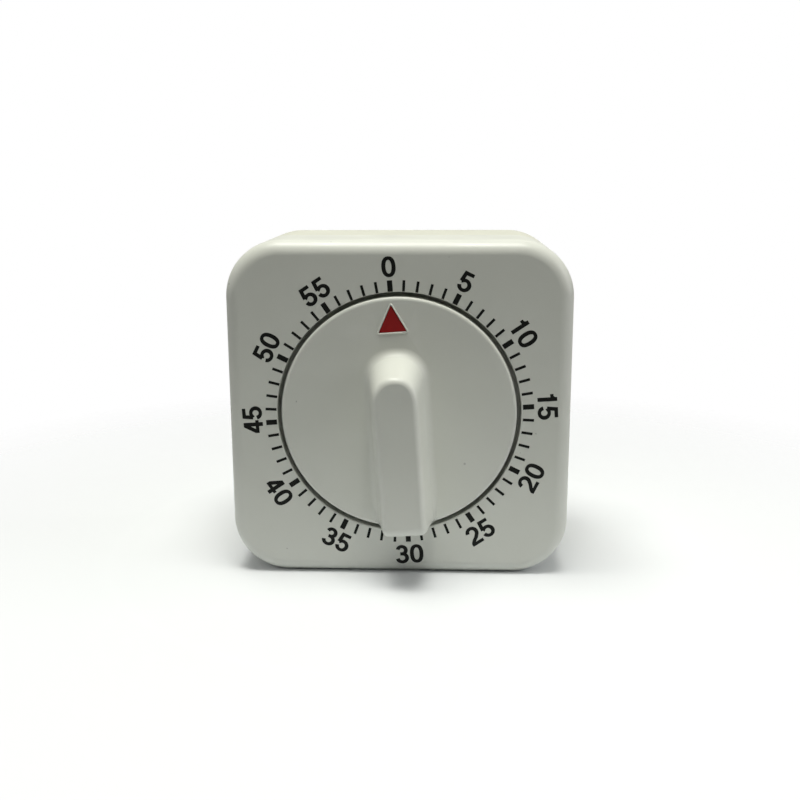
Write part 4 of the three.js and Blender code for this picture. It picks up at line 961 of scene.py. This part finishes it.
def wall_point(base, front, height, out):
    """A point of the drafted wall at a height, moved out along the plan's normal."""
    nx, nz = base[1]
    x, z = between(base[0], front, height / HANDLE_HEIGHT)
    return x + out * nx, DISC_FRONT_Y - height, DIAL_Z + z + out * nz


def fillet_point(base, front, angle, skirt):
    """A point of the fillet at the handle's foot, which runs out towards the square end."""
    end = HANDLE_BASE[2]
    from_end = (base[0][1] - end) / FLARE_RUN_OUT
    size = flare(base[1][1]) * min(max(from_end, FLARE_AT_END), 1.0)
    x, y, z = wall_point(base, front, size * (1 - math.cos(angle)), size * (1 - math.sin(angle)))
    return (x, DISC_FRONT_Y + HANDLE_SINK, z) if skirt else (x, y, z)


def drop(radius, height):
    """How far an edge round of that radius has drawn in at a height of the handle."""
    above = max(height - (HANDLE_HEIGHT - radius), 0.0)
    return radius - math.sqrt(max(radius ** 2 - above ** 2, 0.0))


def round_point(base, front, height):
    """A point near the front edge, which is rounder towards the square end."""
    x, y, z = wall_point(base, front, height, -drop(ROUND_SIDE, height))
    end = HANDLE_FRONT[2]
    near_end = max(1 - (z - DIAL_Z - end) / ROUND_REACH, 0.0)
    return x, y, z + near_end * (drop(ROUND_END, height) - drop(ROUND_SIDE, height))


def pointer_outline(grow):
    """The pointer's triangle, grown outwards, with slightly rounded corners, as (x, z)."""
    half = math.atan2(POINTER_HALF_WIDTH, POINTER_TIP - POINTER_BASE)
    tip = POINTER_TIP + grow / math.sin(half)
    low = POINTER_BASE - grow
    wide = (tip - low) * math.tan(half)
    corners = [Vector((-wide, low)), Vector((wide, low)), Vector((0.0, tip))]
    points = []
    for i, here in enumerate(corners):
        before = (corners[i - 1] - here).normalized()
        after = (corners[(i + 1) % 3] - here).normalized()
        cut = (POINTER_CORNER + max(grow, 0.0)) / math.tan(before.angle(after) / 2)
        start, end = here + before * cut, here + after * cut
        points += quarter(tuple(start), tuple(here), tuple(end), SMALL_STEPS)
    return points


def pointer_rings(profile):
    return [[(x, y, DIAL_Z + z) for x, z in pointer_outline(grow)] for grow, y in profile]


def disc_profile():
    """Half section of the disc and its hub as (radius, y), from the front face to the bore."""
    edge, back_edge = DISC_RADIUS - DISC_EDGE_WIDTH, DISC_BACK_EDGE
    return [
        *quarter((edge, DISC_FRONT_Y), (DISC_RADIUS, DISC_FRONT_Y),
                 (DISC_RADIUS, DISC_FRONT_Y + DISC_EDGE)),
        (DISC_RADIUS, DISC_BACK_Y - back_edge), (DISC_RADIUS - back_edge, DISC_BACK_Y),
        (HUB_RADIUS, DISC_BACK_Y), (HUB_RADIUS, KNOB_HIGH.y),
        (KNOB_BORE_RADIUS, KNOB_HIGH.y), (KNOB_BORE_RADIUS, KNOB_BORE_Y),
    ]


def bead_profile():
    """Section of the raised bead round the pointer as (grow, y), with its foot in the disc."""
    top, foot = DISC_FRONT_Y - BEAD_HEIGHT, DISC_FRONT_Y + BEAD_FOOT
    middle = BEAD_WIDTH / 2
    return [
        (BEAD_WIDTH, foot),
        *quarter((BEAD_WIDTH, DISC_FRONT_Y), (BEAD_WIDTH, top), (middle, top), SMALL_STEPS),
        *quarter((middle, top), (0.0, top), (0.0, DISC_FRONT_Y), SMALL_STEPS)[1:],
        (0.0, foot),
    ]


def knob():
    body = loft("timer_knob", turned_rings(disc_profile(), 0.0, DIAL_Z, DISC_SIDES))
    lug = stop_lug(KNOB_LUG_ANGLE - DIAL_TILT, DISC_BACK_Y - 2 * OVERLAP, KNOB_LUG_Y)
    combine(body, [loft("handle", handle_rings()), lug], "UNION")
    combine(body, [loft("bead", pointer_rings(bead_profile()), closed=True)], "UNION")
    pocket = ((0.0, DISC_FRONT_Y + POINTER_POCKET), (0.0, DISC_FRONT_Y - CLEAR))
    combine(body, [loft("pocket", pointer_rings(pocket))], "DIFFERENCE")
    tilted(body)
    dress(body, MATERIALS["ivory_plastic"], "dial", ["knob"])


def pointer():
    inset, edge, front = -POINTER_GAP, POINTER_EDGE, DISC_FRONT_Y - POINTER_RISE
    profile = [(inset, DISC_FRONT_Y + POINTER_POCKET - edge)]
    profile += quarter((inset, front + edge), (inset, front), (inset - edge, front), LIP_STEPS)
    inlay = tilted(loft("red_pointer", pointer_rings(profile)))
    dress(inlay, MATERIALS["red_inlay"], "dial", ["pointer_inlay"])


# ---------------------------------------------------------------- printed scale


def ellipse(cx, cz, rx, rz, start, stop, steps, power=1.0):
    """Points of an oval arc in degrees; a power below 1 fills it out towards a rectangle."""
    points = []
    for i in range(steps + 1):
        x, z = polar(1.0, start + (stop - start) * i / steps)
        fuller = [math.copysign(abs(v) ** power, v) for v in (x, z)]
        points.append((cx + rx * fuller[0], cz + rz * fuller[1]))
    return points


# Centrelines of the numerals, in capital heights from the middle of the baseline.
DIGITS = {
    "0": [ellipse(0, 0.5, 0.252, 0.428, 0, 360, 48, 0.86)],
    "1": [[(0.075, 0.0), (0.075, 1.0)],
          [(-0.19, 0.735), *ellipse(-0.12, 0.96, 0.2, 0.225, -90, -8, 8)]],
    "2": [[*ellipse(0, 0.68, 0.245, 0.248, 172, -35, 20), (0.06, 0.38), (-0.12, 0.255),
           (-0.225, 0.15), (-0.262, 0.0725)],
          [(-0.345, 0.0725), (0.325, 0.0725)]],
    "3": [ellipse(-0.005, 0.722, 0.215, 0.206, 168, -92, 22),
          [(-0.095, 0.522), (0.0, 0.522)],
          ellipse(0, 0.297, 0.25, 0.225, 90, -172, 24)],
    "4": [[(0.115, 0.0), (0.115, 1.0)],
          [(0.075, 0.955), (-0.275, 0.33)],
          [(-0.35, 0.295), (0.33, 0.295)]],
    "5": [[(0.265, 0.925), (-0.17, 0.925), (-0.222, 0.47)],
          [(-0.222, 0.47), *ellipse(0.005, 0.32, 0.252, 0.25, 138, -170, 26)]],
}
NUMERALS_INWARD = (20, 25, 30, 35, 40)


def neighbours(points, i):
    """The steps into and out of a path's point; an open end has one and the same for both."""
    closed = (points[0] - points[-1]).length < SAME_POINT
    last = len(points) - 1
    into = points[i] - points[i - 1] if i else points[0] - points[-2]
    out_of = points[i + 1] - points[i] if i < last else points[1] - points[0]
    if not closed and i == 0:
        into = out_of
    if not closed and i == last:
        out_of = into
    return into, out_of


def stroke_quads(path):
    """The four-sided pieces of a pen stroke along a centreline."""
    points = [Vector(p) for p in path]
    sides = []
    for i, here in enumerate(points):
        before, after = neighbours(points, i)
        along = (before.normalized() + after.normalized()).normalized()
        across = Vector((-along.y, along.x))
        reach = math.hypot(across.x * STROKE_ACROSS, across.y * STROKE_UPRIGHT) / 2
        reach /= max(across.dot(Vector((-before.y, before.x)).normalized()), LEAST_MITRE)
        sides.append((here + across * reach, here - across * reach))
    return [(a[0], a[1], b[1], b[0]) for a, b in zip(sides, sides[1:])]


def flat_union(quads):
    """The area that overlapping quads cover together, as points and triangles."""
    points = [p for quad in quads for p in quad]
    faces = [tuple(range(4 * i, 4 * i + 4)) for i in range(len(quads))]
    result = delaunay_2d_cdt(points, [], faces, 1, STROKE_WELD)
    places, triangles, origins = result[0], result[2], result[5]
    kept = [t for t, origin in zip(triangles, origins) if origin]
    return places, kept


def digit_shapes():
    """Each digit's points and triangles, in capital heights."""
    shapes = {}
    for digit, strokes in DIGITS.items():
        quads = [quad for stroke in strokes for quad in stroke_quads(stroke)]
        shapes[digit] = flat_union(quads)
    return shapes


def printed(name, sheets):
    """Thin printed marks on the face from sheets of (points, faces), with points as (x, z)."""
    work = bmesh.new()
    sunk = FACE_Y + INK_DEPTH / 4
    for points, faces in sheets:
        verts = [work.verts.new((x * MM, sunk * MM, z * MM)) for x, z in points]
        for face in faces:
            work.faces.new([verts[i] for i in face])
    bmesh.ops.recalc_face_normals(work, faces=work.faces)
    grown = bmesh.ops.extrude_face_region(work, geom=work.faces[:])["geom"]
    moved = [v for v in grown if isinstance(v, bmesh.types.BMVert)]
    bmesh.ops.translate(work, verts=moved, vec=(0, -INK_DEPTH * MM, 0))
    bmesh.ops.recalc_face_normals(work, faces=work.faces)
    mesh = bpy.data.meshes.new(name)
    work.to_mesh(mesh)
    work.free()
    marks = bpy.data.objects.new(name, mesh)
    bpy.context.scene.collection.objects.link(marks)
    dress(marks, MATERIALS["scale_ink"], "housing")


def clock_place(radius, minute, side=0.0):
    """A point at a radius on the ray of a minute mark, moved sideways along the scale."""
    angle = math.radians(-DIAL_TILT + 360 / TICK_COUNT * minute)
    s, c = math.sin(angle), math.cos(angle)
    across, up = PRINT_SHIFT
    return across + radius * s + side * c, DIAL_Z + up + radius * c - side * s


def ticks():
    sheets = []
    for minute in range(TICK_COUNT):
        half = (TICK_NARROW if minute % TICKS_PER_NUMERAL else TICK_WIDE) / 2
        corners = ((TICK_INNER, -half), (TICK_INNER, half), (TICK_OUTER, half), (TICK_OUTER, -half))
        sheets.append(([clock_place(r, minute, s) for r, s in corners], [(0, 1, 2, 3)]))
    printed("minute_marks", sheets)


def numeral_place(point, minute, shift):
    """Where a point of a digit is printed; the lower numerals stand upright, feet outwards."""
    sign = -1 if minute in NUMERALS_INWARD else 1
    side = sign * (point.x + shift) * CAP_HEIGHT + NUMERAL_NUDGE.get(minute, 0.0)
    return clock_place(NUMERAL_RADIUS + sign * (point.y - 0.5) * CAP_HEIGHT, minute, side)


def numerals():
    shapes = digit_shapes()
    sheets = []
    for minute in range(0, TICK_COUNT, TICKS_PER_NUMERAL):
        text = str(minute)
        pitch = NUMERAL_PITCH.get(minute, DIGIT_PITCH)
        for i, digit in enumerate(text):
            points, triangles = shapes[digit]
            shift = (i - (len(text) - 1) / 2) * pitch
            sheets.append(([numeral_place(p, minute, shift) for p in points], triangles))
    printed("minute_numbers", sheets)


# ---------------------------------------------------------------- inside


def bell():
    """A domed steel cup, open at the front, with a rolled rim."""
    radius = (BELL_HIGH.x - BELL_LOW.x) / 2
    centre_x, centre_z = (BELL_HIGH.x + BELL_LOW.x) / 2, (BELL_HIGH.z + BELL_LOW.z) / 2
    rim, top = BELL_LOW.y, BELL_HIGH.y
    inner, dome = radius - BELL_THICKNESS, BELL_DOME_RADIUS
    under = top - BELL_THICKNESS
    profile = [(BELL_HOLE_RADIUS, top)]
    profile += quarter((radius - dome, top), (radius, top), (radius, top - dome), DOME_STEPS)
    profile += quarter((radius, rim + BELL_RIM), (radius, rim), (radius - BELL_RIM, rim), LIP_STEPS)
    profile += [(inner, rim), (inner, rim + BELL_INNER_STEP)]
    profile += quarter((inner, top - dome), (inner, under), (radius - dome, under), DOME_STEPS)
    profile.append((BELL_HOLE_RADIUS, under))
    cup = loft("alarm_bell", turned_rings(profile, centre_x, centre_z, BELL_SIDES), closed=True)
    dress(cup, MATERIALS["bell_nickel"], "housing", ["bell"])


def dress_frame(replaced):
    """Gives each CAD node that still shows its slot's material and softened edges."""
    for part in frame["record"]["subparts"]:
        if part["node"] in replaced:
            continue
        shown = frame["nodes"][part["node"]]
        shown.data.materials.clear()
        shown.data.materials.append(MATERIALS[part["material_slot"]])
        weld = shown.modifiers.new("weld", "WELD")
        weld.merge_threshold = NODE_WELD
        bevel = shown.modifiers.new("edges", "BEVEL")
        bevel.width = NODE_EDGE
        bevel.segments = 2
        bevel.limit_method = "ANGLE"
        bevel.angle_limit = math.radians(NODE_EDGE_ANGLE)
        bevel.use_clamp_overlap = True


# ---------------------------------------------------------------- studio


def camera():
    """The camera stands in front of the dial, a little above it, and looks just past its middle."""
    azimuth, elevation, roll = map(math.radians, (CAMERA_AZIMUTH, CAMERA_ELEVATION, CAMERA_ROLL))
    back = Vector((math.sin(azimuth) * math.cos(elevation),
                   -math.cos(azimuth) * math.cos(elevation), math.sin(elevation)))
    level = Vector((0, 0, 1)).cross(back).normalized()
    lift = back.cross(level)
    right = math.cos(roll) * level + math.sin(roll) * lift
    up = math.cos(roll) * lift - math.sin(roll) * level
    dial = Vector((0, FACE_Y, DIAL_Z))
    place = dial + CAMERA_DISTANCE * back - CAMERA_ACROSS * right - CAMERA_UP * up
    data = bpy.data.cameras.new("camera")
    data.lens = CAMERA_LENS
    data.sensor_width = CAMERA_SENSOR
    data.clip_start, data.clip_end = CAMERA_CLIP
    turn = Matrix((right, up, back)).transposed().to_4x4()
    made = bpy.data.objects.new("camera", data)
    made.matrix_world = Matrix.Translation(place * MM) @ turn
    bpy.context.scene.collection.objects.link(made)
    bpy.context.scene.camera = made


def area_light(name, place, target, size, power, colour):
    data = bpy.data.lights.new(name, "AREA")
    data.shape = "RECTANGLE"
    data.size, data.size_y = size
    data.energy = power
    data.color = colour
    made = bpy.data.objects.new(name, data)
    made.location = place
    aim = Vector(target) - Vector(place)
    made.rotation_euler = aim.to_track_quat("-Z", "Y").to_euler()
    bpy.context.scene.collection.objects.link(made)


def floor():
    """A pale round sheet under the timer that fades into the air round it."""
    points = [(*polar(FLOOR_RADIUS, 360 * i / DISC_SIDES), 0.0) for i in range(DISC_SIDES)]
    mesh = bpy.data.meshes.new("floor")
    mesh.from_pydata(points, [], [tuple(range(DISC_SIDES))])
    sheet = bpy.data.objects.new("floor", mesh)
    bpy.context.scene.collection.objects.link(sheet)
    material, tree, shader = new_material("paper")
    seen = node(tree, "ShaderNodeLightPath").outputs["Is Camera Ray"]
    link(tree, tint(tree, seen, FLOOR_BOUNCE, FLOOR_COLOUR), shader.inputs["Base Color"])
    shader.inputs["Roughness"].default_value = FLOOR_ROUGHNESS
    shader.inputs["Specular IOR Level"].default_value = FLOOR_SHEEN
    place = node(tree, "ShaderNodeTexCoord").outputs["Object"]
    distance = node(tree, "ShaderNodeVectorMath", operation="LENGTH")
    link(tree, place, distance.inputs[0])
    link(tree, spread(tree, distance.outputs["Value"], 1.0, 0.0, FLOOR_SOLID, FLOOR_RADIUS),
         shader.inputs["Alpha"])
    mesh.materials.append(material)
    sheet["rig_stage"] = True


def world():
    """Studio air: a white backdrop all round, whose light is dim in front and brighter behind."""
    made = bpy.data.worlds.new("studio")
    made.use_nodes = True
    tree = made.node_tree
    light = tree.nodes["Background"]
    light.inputs["Color"].default_value = AIR_COLOUR
    place = node(tree, "ShaderNodeTexCoord").outputs["Generated"]
    parts = node(tree, "ShaderNodeSeparateXYZ")
    link(tree, place, parts.inputs[0])
    strength = spread(tree, parts.outputs["Y"], *AIR_STRENGTH, *AIR_DEPTH)
    link(tree, strength, light.inputs["Strength"])
    backdrop = node(tree, "ShaderNodeBackground", Color=(*WHITE, 1.0), Strength=1.0)
    mix = node(tree, "ShaderNodeMixShader")
    link(tree, node(tree, "ShaderNodeLightPath").outputs["Is Camera Ray"], mix.inputs[0])
    link(tree, light.outputs[0], mix.inputs[1])
    link(tree, backdrop.outputs[0], mix.inputs[2])
    link(tree, mix.outputs[0], tree.nodes["World Output"].inputs["Surface"])
    bpy.context.scene.world = made


def studio():
    camera()
    floor()
    world()
    for name, place, target, size, power, colour in LIGHTS:
        area_light(name, place, target, size, power, colour)
    settings = bpy.context.scene.view_settings
    settings.view_transform = "Standard"
    settings.look = "None"


# ---------------------------------------------------------------- build

studio()
front_shell()
rear_cover()
for screw_number, (screw_x, screw_z) in enumerate(post_axes(), 1):
    cover_screw(screw_number, screw_x, screw_z)
back_magnet()
knob()
pointer()
ticks()
numerals()
bell()
dress_frame({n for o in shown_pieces() for n in o.get("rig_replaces", [])})
